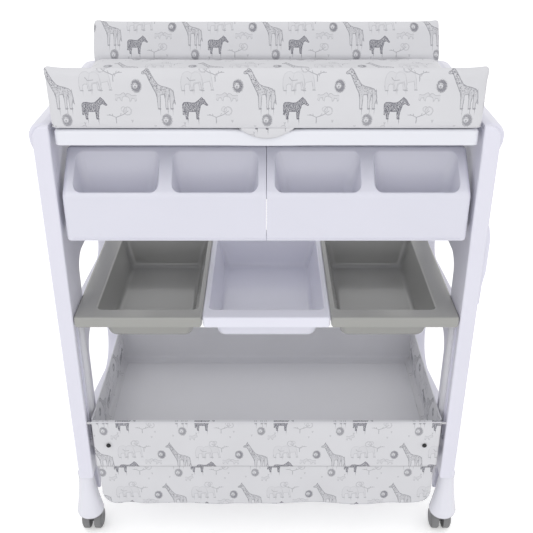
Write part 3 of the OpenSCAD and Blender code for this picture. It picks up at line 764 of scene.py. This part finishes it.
def shoulder(name, sign):
    """Cap of a side frame, with its ends drawn in to a rounded shoulder."""
    node = f"shoulder_cap_{name}"
    low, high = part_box(node)
    outline = [Vector((b, a)) for a, b in cap_outlines(node, 1, 0)[0]]
    middle = Vector((sign * (in_face + 14 * MM), low.z + 22 * MM))
    reach = 12 * MM
    rings = []
    for end, inward in ((low.y, 1), (high.y, -1)):
        half = []
        for i in range(8):
            a = math.radians(90 * i / 7)
            y = end + inward * reach * (1 - math.sin(a))
            scale = 1 - 0.2 * (1 - math.cos(a)) ** 1.3
            half.append([(middle.x + (p.x - middle.x) * scale, y, middle.y + (p.y - middle.y) * scale)
                         for p in outline])
        rings += half[::-1] if inward > 0 else half
    ob = settle(loft(f"shoulder_{name}", rings), 50)
    modify(ob, "WEIGHTED_NORMAL", keep_sharp=True)
    piece(ob, "frame", "frame_plastic", "frame", node)


for side, sign in SIDES.items():
    side_frame(side, sign)
    shoulder(side, sign)
    dress(f"leg_tube_{side}", "tube")
    dress(f"tray_runner_{side}", "tube", 0.5 * MM)
for spot in ("front_upper", "rear_upper", "front_lower", "rear_lower", "tray_mid", "tray_rear"):
    dress(f"{spot}_tube", "tube")
for node, material, eased in (
        ("screw_caps", "frame", 0.4), ("side_hook", "frame", 0.8), ("organizer_brackets", "steel", 0.5),
        ("tray_runners_mid", "tube", 0.5), ("hinge_rail", "tube", 0.6), ("hinge_pins", "steel", 0),
        ("hinge_leaves", "steel", 0.5), ("guard_rod", "steel", 0), ("snap_buttons", "snap", 0.3)):
    dress(node, material, eased * MM)


# ---- Bath ----

BATH_WELL = ((-312 * MM, -132 * MM), (312 * MM, 162 * MM))
BATH_FLOOR = 752 * MM


def grown(box, d):
    (x0, y0), (x1, y1) = box
    return (x0 - d, y0 - d), (x1 + d, y1 + d)


def bath():
    low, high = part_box("bath_tub")
    outer = ((low.x, low.y), (high.x, high.y))
    rim = high.z
    side = (40, 20)
    rings = []

    def ring(box, radius, z):
        rings.append([(x, y, z) for x, y in round_rect(*box, radius, 10, side)])

    ring(outer, 12 * MM, rim - 27 * MM)
    ring(outer, 12 * MM, rim - 24 * MM)
    edge = 7 * MM
    for across, up in arc(edge, 0, 90, 6):
        ring(grown(outer, across - edge), 12 * MM - (edge - across) * 0.6, rim - edge + up)
    ring(grown(outer, -20 * MM), 16 * MM, rim)
    lip = 9 * MM
    ring(grown(BATH_WELL, lip + 6 * MM), 76 * MM, rim)
    for across, up in arc(lip, 90, 0, 6):
        ring(grown(BATH_WELL, lip - across), 68 * MM + lip - across, rim - lip + up)
    depth, draft, fillet = rim - BATH_FLOOR, 20 * MM, 34 * MM
    for k in range(1, 7):
        t = k / 6
        ring(grown(BATH_WELL, -draft * t), (68 - 4 * t) * MM, rim - lip - (depth - lip - fillet) * t)
    for across, up in arc(fillet, 0, -90, 8)[1:]:
        radius = 64 * MM - (fillet - across) * 0.8
        ring(grown(BATH_WELL, -draft - fillet + across), radius, BATH_FLOOR + fillet + up)
    for inset in (70, 110):
        ring(grown(BATH_WELL, -inset * MM), 22 * MM, BATH_FLOOR)
    ob = loft("bath_shell", rings, start=False)
    scoop = 88 * MM
    for v in ob.data.vertices:
        if v.co.y < low.y + 16 * MM and v.co.z > rim - 28 * MM and abs(v.co.x) < scoop:
            share = (math.cos(math.pi * v.co.x / scoop) + 1) / 2
            v.co.y += 6.5 * MM * share * max(0.0, 1 - (v.co.y - low.y) / (16 * MM))
            v.co.z -= 3 * MM * share
    settle(ob, 60)
    modify(ob, "SOLIDIFY", thickness=2.8 * MM, offset=-1)
    baked(ob)
    plug_low, plug_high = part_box("drain_plug")
    x, y = (plug_low.x + plug_high.x) / 2, (plug_low.y + plug_high.y) / 2
    cut(ob, rod("drain", (x, y, BATH_FLOOR - 12 * MM), (x, y, BATH_FLOOR + 12 * MM), 18 * MM, 48))
    evenly_shaded(ob, 40)
    piece(ob, "frame", "bath_plastic", "bath", "bath_tub")


bath()
dress("drain_outlet", "tray_white", 0.5 * MM)
dress("drain_plug", "rubber", 0.6 * MM)


# ---- Organizers ----

POCKETS = ((15 * MM, 168 * MM), (192 * MM, 343 * MM))
POCKET_Y = (front_y + 5 * MM, front_y + 66 * MM)
POCKET_FLOOR = 765 * MM


def rounded_polygon(corners, inset, steps=5):
    """Points of an anticlockwise convex outline of (a, b, corner radius), drawn in by inset."""
    count = len(corners)
    spots = [Vector(c[:2]) for c in corners]
    ways = [(spots[(i + 1) % count] - spots[i]).normalized() for i in range(count)]
    points = []
    for i, (_, _, radius) in enumerate(corners):
        before, after = ways[i - 1], ways[i]
        turn = math.acos(max(-1.0, min(1.0, before.dot(after))))
        bisector = (Vector((-before.y, before.x)) + Vector((-after.y, after.x))).normalized()
        spot = spots[i] + bisector * inset / math.cos(turn / 2)
        r = max(radius - inset, 0.6 * MM)
        centre = spot + bisector * r / math.cos(turn / 2)
        begin = math.atan2(-before.x, before.y)
        points += [(centre.x - r * math.cos(begin + math.pi + turn * k / steps),
                    centre.y - r * math.sin(begin + math.pi + turn * k / steps)) for k in range(steps + 1)]
    return points


def drawn_in(box, dx, dy):
    (x0, y0), (x1, y1) = box
    return (x0 + dx, y0 + dy), (x1 - dx, y1 - dy)


def pocket_tool(mouth, slope):
    """The space of one pocket: a slanting mouth with eased edges, drafted walls and a bowl-shaped floor."""
    lip, bowl, corner, side_draft, end_draft = 2.0 * MM, 13 * MM, 14 * MM, 6 * MM, 19 * MM
    base = POCKET_FLOOR + bowl
    rings = []

    def ring(dx, dy, radius, height):
        rings.append([(x, y, height(y)) for x, y in round_rect(*drawn_in(mouth, dx, dy), radius, 8, (12, 4))])

    for across, up in arc(bowl, -90, 0, 8):
        inward = bowl - across
        ring(end_draft + inward, side_draft + inward * 0.8, corner + 5 * MM - inward * 0.35,
             lambda y, up=up: base + up)
    steps = 5
    for k in range(1, steps + 1):
        t = k / steps
        ring(end_draft * (1 - t) ** 1.1, side_draft * (1 - t), corner + 5 * MM * (1 - t),
             lambda y, t=t: base + (slope(y) - lip - base) * t)
    for across, up in arc(lip, 180, 90, 6)[1:]:
        ring(-lip - across, -lip - across, corner + lip + across,
             lambda y, up=up: slope(y) - lip + up - 0.03 * MM)
    rings.append([(x, y, z + 8 * MM) for x, y, z in rings[-1]])
    return settle(loft("pocket", rings))


def organizer(name, sign):
    node = f"organizer_{name}"
    low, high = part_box(node)
    inner, outer = (low.x, high.x) if sign > 0 else (high.x, low.x)
    back = front_y + 85 * MM
    foot, head = (front_y, 823 * MM), (front_y + 72 * MM, 887 * MM)
    profile = [(front_y, low.z, 3 * MM), (back, low.z, 3 * MM), (back, head[1], 3 * MM), (*head, 5 * MM),
               (*foot, 20 * MM)]
    rings = []
    for radius, end, way in ((0.7 * MM, inner, -sign), (9 * MM, outer, sign)):
        half = []
        for across, up in arc(radius, 90, 0, 8):
            x = end - way * (radius - across)
            half.append([(x, y, z) for y, z in rounded_polygon(profile, radius - up)])
        rings += half[::-1] if end == inner else half
    ob = settle(loft(f"organizer_shell_{name}", rings))

    def slope(y):
        return foot[1] + (y - foot[0]) * (head[1] - foot[1]) / (head[0] - foot[0])

    tools = []
    for a, b in POCKETS:
        x0, x1 = sorted((sign * a, sign * b))
        tools.append(pocket_tool(((x0, POCKET_Y[0]), (x1, POCKET_Y[1])), slope))
    cut(ob, *tools)
    with editing(ob) as bm:
        under = [f for f in bm.faces if f.normal.z < -0.5 and f.calc_center_median().z < low.z + 7 * MM]
        bmesh.ops.delete(bm, geom=under, context="FACES")
    modify(ob, "SOLIDIFY", thickness=MOULDED_WALL, offset=-1)
    cleaned(baked(ob))
    bead = rod("bead", (inner + sign * 2 * MM, front_y - 0.1 * MM, low.z + 5 * MM),
               (outer - sign * 12.5 * MM, front_y - 0.1 * MM, low.z + 5 * MM), 1.3 * MM, 16)
    ob = joined(f"organizer_shell_{name}", [ob, bead])
    evenly_shaded(ob, 38)
    piece(ob, node, "bath_plastic", "organizer", node)


for side, sign in SIDES.items():
    organizer(side, sign)


# ---- Trays ----

def tray(name, material, flanges):
    node = f"tray_{name}"
    low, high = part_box(node)
    outer = ((low.x, low.y), (high.x, high.y))
    well = ((low.x + flanges[0] * MM, front_y + 33 * MM), (high.x - flanges[1] * MM, high.y - 10 * MM))
    side = (10, 44)
    lip_drop, flange = 21 * MM, 3 * MM
    rings = []

    def ring(box, radius, height):
        rings.append([(x, y, height(y)) for x, y in round_rect(*box, radius, 6, side)])

    def behind_lip(y):
        """0 at the front lip, rising to 1 where it ends."""
        return clamped((y - low.y) / (26 * MM))

    def hem(y):
        """The turned-down front lip, which rises to the flange along the sides."""
        return high.z - flange - (lip_drop - flange) * (1 - behind_lip(y)) ** 1.6

    edge, side_edge = 4.5 * MM, 2.4 * MM

    def rounding(y):
        """Height of the edge's rounding, which is less along the thin side flanges than on the lip."""
        return edge + (side_edge - edge) * behind_lip(y)

    ring(outer, 6 * MM, hem)
    ring(outer, 6 * MM, lambda y: (hem(y) + high.z - rounding(y)) / 2)
    for across, up in arc(edge, 0, 90, 5):
        ring(grown(outer, across - edge), 6 * MM - (edge - across) * 0.6,
             lambda y, up=up: high.z - (1 - up / edge) * rounding(y))
    lip = 3.5 * MM
    for across, up in arc(lip, 90, 0, 5):
        ring(grown(well, lip - across), 12 * MM + lip - across, lambda y, up=up: high.z - lip + up)
    fillet, draft = 12 * MM, 15 * MM
    for t in (0.5, 1.0):
        ring(grown(well, -draft * t), 12 * MM,
             lambda y, t=t: high.z - lip - (high.z - lip - low.z - fillet - 2.5 * MM) * t)
    for across, up in arc(fillet, 0, -90, 6)[1:]:
        ring(grown(well, -draft - fillet + across), 14 * MM - (fillet - across) * 0.6,
             lambda y, up=up: low.z + 2.5 * MM + fillet + up)
    ob = loft(f"tray_shell_{name}", rings, start=False)
    settle(ob, 60)
    modify(ob, "SOLIDIFY", thickness=MOULDED_WALL, offset=-1)
    cleaned(baked(ob))
    evenly_shaded(ob, 40)
    piece(ob, node, material, material, node)


tray("left", "tray_grey", (40, 10))
tray("center", "tray_white", (11, 11))
tray("right", "tray_grey", (10, 40))


# ---- Feet and casters ----

def foot(corner):
    low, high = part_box(f"foot_{corner}")
    centre = ((low.x + high.x) / 2, (low.y + high.y) / 2, 0)
    wide, neck = (high.x - low.x) / 2, 16 * MM
    top, widest = high.z, low.z + 11 * MM
    profile = [(0, top)] + offsets(neck, top, (-1.5, 0), (0.6, -0.8), (1.6, -3), (1.4, -6), (0.6, -9))
    steps = 16
    for i in range(1, steps + 1):
        t = i / steps
        profile.append((neck + 0.6 * MM + (wide - neck - 0.6 * MM) * t ** 1.55,
                        top - 9 * MM - (top - 9 * MM - widest) * t))
    profile += offsets(wide, widest, (-0.3, -3), (-1.4, -6.5), (-3.6, -9.4))
    profile += offsets(wide, low.z, (-6.5, 0), (-9, 1))
    profile += offsets(0, low.z, (13, 6), (12, 7), (6, 7), (4.7, 6), (4.7, 38), (0, 38))
    ob = lathe(f"bell_{corner}", profile, centre)
    piece(ob, "frame", "frame_plastic", "foot", f"foot_{corner}")


def wheel_pair(corner):
    """Twin wheels with a soft tread, a ring groove and a hub cap on each outer face."""
    low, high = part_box(f"wheels_{corner}")
    centre = (low + high) / 2
    radius, reach = ((b - a) / 2 / MM for a, b in ((low.z, high.z), (low.x, high.x)))
    bore, inner_face, bore_end = 3.05, 4.8, 21.6
    profile = [(bore, inner_face), (radius - 3, inner_face), (radius - 0.8, 5.4), (radius, 7), (radius, 17),
               (radius - 0.5, 18.6), (radius - 1.8, 19.8), (radius - 3.6, 20.2), (radius - 4.1, 19.6),
               (radius - 4.8, 19.6), (radius - 5.4, 20.9)]
    for i in range(1, 6):
        profile.append(((radius - 5.4) * math.cos(math.radians(13 * i)) + 0.4,
                        20.9 + (reach - 21.4) * math.sin(math.radians(18 * i))))
    profile += [(7.6, reach - 0.4), (7.2, reach - 1.2), (6.4, reach - 1.2), (5.9, reach - 0.3), (0, reach),
                (0, bore_end), (bore, bore_end), (bore, inner_face)]
    halves = []
    for sign in (-1, 1):
        points = [(r * MM, sign * h * MM) for r, h in profile]
        halves.append(lathe("wheel", points, centre, 0, 48))
    ob = joined(f"twin_wheels_{corner}", halves)
    settle(ob, 40)
    piece(ob, f"wheels_{corner}", "wheel_grey", "wheel", f"wheels_{corner}")


for end in ("front", "rear"):
    for side in SIDES:
        corner = f"{end}_{side}"
        foot(corner)
        wheel_pair(corner)
        dress(f"caster_{corner}", "caster", 0.5 * MM)
        dress(f"axle_{corner}", "steel")
for side in SIDES:
    dress(f"brake_lever_{side}", "caster", 0.4 * MM)


# ---- Base board ----

low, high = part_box("base_board")
board = slab("base_panel", cap_outlines("base_board", 2, 1), 2, low.z, high.z, 2.2 * MM)
modify(board, "WEIGHTED_NORMAL", keep_sharp=True)
piece(board, "frame", "board_laminate", "board", "base_board")


# ---- Basket cloth ----

def cloth_sheet(name, columns, rows, place, cloth, thickness=CLOTH):
    """Sheet of cloth: for s and t from 0 to 1, place gives a point and cloth its spot on the flat cut."""
    points, faces, flat = [], [], []
    for j in range(rows + 1):
        for i in range(columns + 1):
            s, t = i / columns, j / rows
            points.append(place(s, t))
            flat.append(cloth(s, t))
    for j in range(rows):
        for i in range(columns):
            a = j * (columns + 1) + i
            faces.append((a, a + 1, a + columns + 2, a + columns + 1))
    ob = mesh_object(name, points, faces)
    mark_cloth(ob, flat)
    smooth(ob, 70)
    modify(ob, "SOLIDIFY", thickness=thickness, offset=0)
    return ob


def mark_cloth(ob, flat):
    """Stores where each vertex is on the flat cloth, in metres, for the print and the weave."""
    a = ob.data.attributes.new("cloth", "FLOAT_VECTOR", "POINT")
    a.data.foreach_set("vector", [c for u, v in flat for c in (u, v, 0.0)])


def wave(*seed):
    """Smooth seeded unevenness from -1 to 1."""
    return noise.noise(Vector(seed))


def piping(name, path, radius, material, body="frame", slot="printed_fabric"):
    """Sewn piping: a thin round edge along a path."""
    data = bpy.data.curves.new(name, "CURVE")
    data.dimensions = "3D"
    data.bevel_depth = radius
    data.bevel_resolution = 3
    data.use_fill_caps = True
    spline = data.splines.new("POLY")
    spline.points.add(len(path) - 1)
    for p, co in zip(spline.points, path):
        p.co = (*co, 1)
    mesh = mesh_of_curve(name, data)
    ob = linked(name, mesh)
    mark_cloth(ob, [(v.co.x, v.co.z + v.co.y) for v in mesh.vertices])
    smooth(ob, 60)
    piece(ob, body, slot, material)
    return ob


PRINT_GAIN = 1.03  # how much closer the print repeats on the basket's front and skirt
TURN_IN = 222.6 * MM  # height of the turned-in cloth on the base
guard_low, guard_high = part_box("basket_front")
skirt_low, skirt_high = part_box("basket_skirt")
side_low, side_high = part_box("basket_right")
back_low, back_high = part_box("basket_back")


def guard():
    """Doubled front panel that hangs over the guard rod down to the base, with piping along its top."""
    width = guard_high.x - guard_low.x
    height = guard_high.z - guard_low.z
    depth = guard_high.y - guard_low.y
    drop = height * 2 + math.pi * depth / 2

    def place(s, t):
        x = guard_low.x + width * s
        along = t * drop
        half = depth / 2 - 0.6 * MM
        middle = (guard_low.y + guard_high.y) / 2
        straight = height - depth / 2
        if along < straight:
            y, z = middle - half, guard_low.z + along
        elif along < straight + math.pi * half:
            a = (along - straight) / half
            y, z = middle - half * math.cos(a), guard_low.z + straight + half * math.sin(a)
        else:
            y, z = middle + half, guard_low.z + straight - (along - straight - math.pi * half)
        slack = math.sin(math.pi * clamped((z - guard_low.z) / height))
        edge = min(1.0, 12 * min(s, 1 - s))
        ripple = wave(x * 5.5, z * 9, 1.0) * 2.2 * MM + wave(x * 16, z * 22, 4.0) * 0.8 * MM
        pull = 1.6 * MM * math.exp(-(((abs(x) - 0.33) / 0.02) ** 2) - ((z - 0.259) / 0.02) ** 2)
        return x, y + (ripple * edge * slack + pull) * (1 if t < 0.5 else 0.4), z

    ob = cloth_sheet("guard_cloth", 180, 60, place,
                     lambda s, t: (s * width * PRINT_GAIN + 0.017, t * drop + 0.052))
    piece(ob, "frame", "printed_fabric", "print", "basket_front")
    top = [(guard_low.x + width * i / 90, guard_low.y - 0.2 * MM,
            guard_high.z - 1.5 * MM + wave(i * 0.2, 2, 2) * 0.3 * MM) for i in range(91)]
    piping("guard_piping", top, 1.3 * MM, "plain")


def skirt():
    """Loose skirt under the guard, with rounded lower corners and a bound, wavy lower edge."""
    width = skirt_high.x - skirt_low.x
    height = skirt_high.z - skirt_low.z
    corner = 33 * MM
    middle = (skirt_low.y + skirt_high.y) / 2

    def lower(s):
        x = width * min(s, 1 - s)
        return corner - math.sqrt(max(0.0, corner ** 2 - (corner - x) ** 2)) if x < corner else 0.0

    def point(s, t):
        s = 0.5 + 0.5 * math.sin(math.pi * (s - 0.5)) * 0.35 + (s - 0.5) * 0.65
        bottom = lower(s) + 1.6 * MM * (1 + wave(s * 9, 3.0, 7.0))
        hang = 1 - t
        z = skirt_low.z + bottom + (height - bottom) * t
        folds = wave(s * 7.0, t * 0.7, 5.0) * 6.5 * MM + wave(s * 19.0, t * 1.5, 9.0) * 2.2 * MM
        return s, skirt_low.x + width * s, middle + folds * hang ** 1.2, z

    def place(s, t):
        return point(s, t)[1:]

    def cloth(s, t):
        s2, _, _, z = point(s, t)
        return s2 * width * PRINT_GAIN + 0.036, z - skirt_low.z + 0.058

    ob = cloth_sheet("skirt_cloth", 200, 30, place, cloth, 0.7 * MM)
    piece(ob, "frame", "printed_fabric", "print", "basket_skirt")
    hem = [place(s / 150, 0.0) for s in range(151)]
    piping("skirt_binding", [(x, y, z + 0.4 * MM) for x, y, z in hem], 0.9 * MM, "print")


def basket_side(name, sign):
    """Side wall of the basket, which turns in over the base along its lower edge."""
    length = side_high.y - side_low.y
    turn = 14 * MM
    height = side_high.z - side_low.z - 5 * MM
    top_x = sign * (side_high.x - 0.6 * MM)

    def place(s, t):
        y = side_low.y + length * s
        along = t * (height + turn)
        sag = math.sin(math.pi * s) * 5 * MM
        if along < turn:
            a = along / turn
            x, z = top_x - sign * turn * (1 - a) ** 1.5, TURN_IN + 5 * MM * a ** 2
        else:
            a = (along - turn) / height
            belly = math.sin(math.pi * a) * (3.0 * MM + 2.0 * MM * wave(y * 9, a * 2, 3.0 + sign))
            x, z = top_x - sign * belly, TURN_IN + 5 * MM + (height - 5.6 * MM - sag * a) * a
        x -= sign * abs(wave(y * 11, z * 8, 6.0)) * 0.6 * MM * min(1, 6 * t)
        return x, y, z

    flat = (length, height + turn)
    ob = cloth_sheet(f"side_cloth_{name}", 100, 34, place, lambda s, t: (s * length + 0.1, t * flat[1]))
    piece(ob, "frame", "printed_fabric", "print", f"basket_{name}")
    piping(f"side_piping_{name}", [place(i / 60, 1.0) for i in range(61)], EDGING, "plain")


def basket_rear():
    """Back wall, sewn to the sides, with a soft turn onto the base."""
    width = back_high.x - back_low.x - 2 * MM
    height = back_high.z - back_low.z - 6 * MM
    turn = 22 * MM

    def place(s, t):
        x = back_low.x + 1 * MM + width * s
        along = t * (height + turn)
        sag = math.sin(math.pi * s) ** 0.7 * 7 * MM
        if along < turn:
            a = along / turn
            y, z = back_low.y + 1 * MM - turn * (1 - a) ** 1.6, TURN_IN + 7 * MM * a ** 2
        else:
            a = (along - turn) / height
            y = back_low.y + 1 * MM + 1.4 * MM * wave(x * 5, a * 2, 8.0) * math.sin(math.pi * a)
            z = TURN_IN + 7 * MM + (height - 8.6 * MM - sag) * a
        return x, y, z

    ob = cloth_sheet("back_cloth", 180, 34, place, lambda s, t: (s * width, t * (height + turn)))
    piece(ob, "frame", "plain_fabric", "plain", "basket_back")
    piping("back_piping", [place(i / 100, 1.0) for i in range(101)], EDGING, "plain", slot="plain_fabric")


guard()
skirt()
for side, sign in SIDES.items():
    basket_side(side, sign)
basket_rear()


# ---- Changing top ----

pad_low, pad_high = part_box("mat_pad")
front_low, front_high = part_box("bolster_front")
rear_low, rear_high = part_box("bolster_rear")
deck_low, deck_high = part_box("mat_board")


def unrolled(profile):
    """Running length along a closed (y, z) profile at each of its points."""
    lengths = [0.0]
    for a, b in zip(profile, profile[1:]):
        lengths.append(lengths[-1] + math.dist(a, b))
    return lengths


def nearest_length(profile, lengths, y, z):
    """Running length of the profile point that is nearest to (y, z)."""
    best = (1e9, 0.0)
    for (a, la), (b, lb) in zip(zip(profile, lengths), zip(profile[1:], lengths[1:])):
        dy, dz = b[0] - a[0], b[1] - a[1]
        size = dy * dy + dz * dz
        share = clamped(((y - a[0]) * dy + (z - a[1]) * dz) / size) if size else 0.0
        d = (y - a[0] - dy * share) ** 2 + (z - a[1] - dz * share) ** 2
        if d < best[0]:
            best = (d, la + (lb - la) * share)
    return best[1]


def inflate(ob, voxel, pressure, cap):
    """Fills a closed form with air under a cloth skin, and keeps every point within cap of where it was."""
    modify(ob, "REMESH", mode="VOXEL", voxel_size=voxel)
    baked(ob)
    before = [v.co.copy() for v in ob.data.vertices]
    m = modify(ob, "CLOTH")
    m.settings.use_pressure = True
    m.settings.uniform_pressure_force = pressure
    m.settings.effector_weights.gravity = 0
    m.settings.quality = 4
    m.settings.tension_stiffness = 18
    m.settings.compression_stiffness = 18
    m.settings.bending_stiffness = 0.6
    m.point_cache.frame_end = 20
    for f in range(1, 21):
        bpy.context.scene.frame_set(f)
    baked(ob)
    for v, rest in zip(ob.data.vertices, before):
        move = v.co - rest
        if move.length > cap:
            v.co = rest + move * (cap / move.length)
    return ob


def cushion(name, profile, x0, x1, cap, voxel, taper, lean=0.0):
    """Stuffed piece with a (y, z) profile, soft ends and, if asked, a narrower foot."""
    loops = 9
    middle = Vector((sum(p[0] for p in profile) / len(profile), sum(p[1] for p in profile) / len(profile)))
    rings = []
    for k in range(loops):
        a = math.radians(90 * k / (loops - 1))
        draw = taper * (1 - math.cos(a))
        shrink = 1 - taper / (7 * taper + 30 * MM) * (1 - math.sin(a))
        rings.append([(x0 + draw, middle.x + (y - middle.x) * shrink, middle.y + (z - middle.y) * shrink)
                      for y, z in profile])
    rings += [[(x0 + x1 - x, y, z) for x, y, z in ring] for ring in rings[::-1]]
    ob = settle(loft(name, rings))
    foot, head = min(p[1] for p in profile), max(p[1] for p in profile)
    for v in ob.data.vertices:
        v.co.x *= 1 - lean * (head - v.co.z) / (head - foot)
    inflate(ob, voxel, 4.0, cap)
    modify(ob, "SMOOTH", factor=0.5, iterations=2)
    modify(ob, "SUBSURF", levels=1, render_levels=1)
    baked(ob)
    return ob


def print_profile(ob, profile, start):
    """Print coordinates of a cushion: along X, and round its profile."""
    lengths = unrolled(profile)
    mark_cloth(ob, [(v.co.x + start[0], nearest_length(profile, lengths, v.co.y, v.co.z) + start[1])
                    for v in ob.data.vertices])
    smooth(ob, 70)


def clamp_box(ob, low, high):
    for v in ob.data.vertices:
        v.co = Vector((min(max(c, a), b) for c, a, b in zip(v.co, low, high)))


def changing_top():
    half = front_high.x
    base = deck_high.z
    top = front_high.z
    face = front_low.y
    front_profile = offsets(face, base, (0.5, -6), (0.8, 12), (1.8, 50))
    front_profile += offsets(face, top, (1.4, -9), (2.6, -3.6), (6, -1), (13, -4), (17, -11))
    front_profile += offsets(face, base, (32, 56), (44, 29), (45.5, 20), (45.5, 1))
    ob = cushion("front_bolster", front_profile, -half - 5 * MM, half + 5 * MM,
                 3 * MM, 4.5 * MM, 5 * MM, 0.016)
    clamp_box(ob, (-half - 1.8 * MM, face - 1.5 * MM, base + 0.2 * MM), (half + 1.8 * MM, 1, top + 2 * MM))
    for v in ob.data.vertices:
        if v.co.y < face + 6 * MM:
            share = clamped(1 - (v.co.z - base) / (16 * MM))
            v.co.z -= 6.5 * MM * share * clamped((face + 6 * MM - v.co.y) / (5 * MM))
            v.co.y = min(v.co.y, deck_low.y - 0.5 * MM) if share > 0.6 else v.co.y
    print_profile(ob, front_profile, (half + 0.0104, 0.0135))
    piece(ob, "changing_top", "printed_fabric", "print", "bolster_front")

    rear_profile = offsets(rear_low.y, base, (1.5, 1), (1.5, 24), (4, 31), (20, 62))
    rear_profile += offsets(rear_high.y, top, (-30, -10), (-25, -3), (-18, -2.5), (-10, -4), (-7, -12))
    rear_profile += offsets(rear_high.y, base, (-4.5, 50), (-2.5, 14), (-3, 1))
    ob = cushion("rear_bolster", rear_profile, -half + 0.5 * MM, half - 0.5 * MM,
                 3 * MM, 5 * MM, 5 * MM, 0.012)
    clamp_box(ob, (-half - 2 * MM, -1, base + 0.2 * MM), (half + 2 * MM, rear_high.y + 2 * MM, top + 2 * MM))
    print_profile(ob, rear_profile, (half - 0.008, -0.004))
    piece(ob, "changing_top", "printed_fabric", "print", "bolster_rear")

    near, far = pad_low.y + 1 * MM, pad_high.y - 0.5 * MM
    pad_profile = [(near, base + 1 * MM)] + offsets(near, pad_high.z, (0, -7), (5, -3))
    steps = 14
    for i in range(steps + 1):
        pad_profile.append((near + 12 * MM + (far - near - 24 * MM) * (i / steps), pad_high.z - 2.4 * MM))
    pad_profile += offsets(far, pad_high.z, (-5, -3), (0, -7)) + [(far, base + 1 * MM)]
    ob = cushion("pad", pad_profile, pad_low.x + 2 * MM, pad_high.x - 2 * MM, 5 * MM, 6 * MM, 8 * MM)
    clamp_box(ob, (-half, pad_low.y + 0.3 * MM, base + 0.2 * MM),
              (half, pad_high.y - 0.2 * MM, pad_high.z + 4 * MM))
    print_profile(ob, pad_profile, (half + 0.11, 0.07))
    piece(ob, "changing_top", "printed_fabric", "print", "mat_pad")

    deck = slab("top_deck", cap_outlines("mat_board", 2, 1), 2, deck_low.z, deck_high.z, 3.2 * MM)
    mark_cloth(deck, [(v.co.x + half, v.co.z - v.co.y) for v in deck.data.vertices])
    piece(deck, "changing_top", "printed_fabric", "print", "mat_board")
    edge = half - 1.5 * MM
    line = round_rect((-edge, deck_low.y - 0.2 * MM), (edge, deck_high.y + 0.2 * MM), 10 * MM, 8, (60, 40))
    line.append(line[0])
    piping("top_seam", [(x, y, deck_low.z + 1.6 * MM) for x, y in line], 1.3 * MM, "plain", "changing_top")


changing_top()


def pull_tab():
    """Half-round tongue of doubled cloth that hangs in front of the bath's rim."""
    low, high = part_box("pull_tab")
    half, height = (high.x - low.x) / 2, high.z - low.z
    middle = (low.y + high.y) / 2
    radius = (half ** 2 + height ** 2) / (2 * height)

    def place(s, t):
        x = -half + 2 * half * s
        reach = math.sqrt(max(0.0, radius ** 2 - x ** 2)) - (radius - height)
        z = high.z - max(reach, 0.3 * MM) * t
        curl = 1.2 * MM * math.sin(math.pi * t) - 0.8 * MM * t
        return x, middle - curl, z

    ob = cloth_sheet("tab_cloth", 48, 12, place,
                     lambda s, t: (s * 2 * half + 0.045, 0.03 - t * height), 2.4 * MM)
    baked(ob)
    piece(ob, "changing_top", "printed_fabric", "print", "pull_tab")
    rim = [place(s / 48, 1.0) for s in range(49)]
    piping("tab_piping", rim, 1.0 * MM, "plain", "changing_top")


pull_tab()


# ---- Stage, lights and camera ----

def studio_floor():
    """White studio floor, lifted a little where the camera sees it, as a lit table would be."""
    m, g, s = new_material("floor_white")
    g.put(g.mix(g.noise(g.place(), 2.0), (0.96, 0.96, 0.96), (0.97, 0.97, 0.97)), s.inputs["Base Color"])
    s.inputs["Roughness"].default_value = 0.9
    s.inputs["Emission Color"].default_value = (1.0, 1.0, 1.0, 1)
    g.put(g.mul(g.node("ShaderNodeLightPath").outputs["Is Camera Ray"], 0.3), s.inputs["Emission Strength"])
    return m


floor = mesh_object("floor", [(-30, -30, 0), (30, -30, 0), (30, 30, 0), (-30, 30, 0)], [(0, 1, 2, 3)])
floor.data.materials.append(studio_floor())


def studio(seen, cast):
    """World that looks white behind the scene and lights it more gently."""
    world = bpy.data.worlds.new("studio")
    bpy.context.scene.world = world
    world.use_nodes = True
    g = Graph(world.node_tree)
    background = world.node_tree.nodes["Background"]
    camera_ray = g.node("ShaderNodeLightPath").outputs["Is Camera Ray"]
    background.inputs["Color"].default_value = (1.0, 1.0, 1.0, 1)
    g.put(g.ramp(camera_ray, 0.0, 1.0, cast, seen), background.inputs["Strength"])


studio(1.02, 0.9)


def aimed(name, data, place, target):
    ob = linked(name, data)
    ob.location = place
    ob.rotation_euler = (Vector(target) - Vector(place)).to_track_quat("-Z", "Y").to_euler()


def softbox(name, place, target, size, power, rgb=(1, 1, 1)):
    data = bpy.data.lights.new(name, "AREA")
    data.shape = "RECTANGLE"
    data.size, data.size_y = size
    data.energy = power
    data.color = rgb
    aimed(name, data, place, target)


softbox("key", (-1.5, -3.3, 3.0), (0, -0.1, 0.7), (2.6, 2.0), 6)
softbox("front", (-0.2, -3.4, 2.3), (0, 0, 0.7), (3.0, 1.8), 7)
softbox("fill", (2.6, -2.6, 1.8), (0, 0, 0.5), (1.8, 2.2), 1.5)
sky = bpy.data.lights.new("overhead", "SUN")
sky.energy = 0.2
sky.angle = math.radians(60)
aimed("overhead", sky, (-0.5, -1.3, 2.6), (0, 0, 0))

LOOKS_DOWN = 27.5  # degrees

camera = linked("camera", bpy.data.cameras.new("camera"))
camera.location = (0.0, -1.553, 1.3625)
camera.rotation_euler = (math.radians(90 - LOOKS_DOWN), 0, 0)
camera.data.sensor_width = 36
camera.data.lens = 54.03
bpy.context.scene.camera = camera
bpy.context.scene.view_settings.view_transform = "Standard"
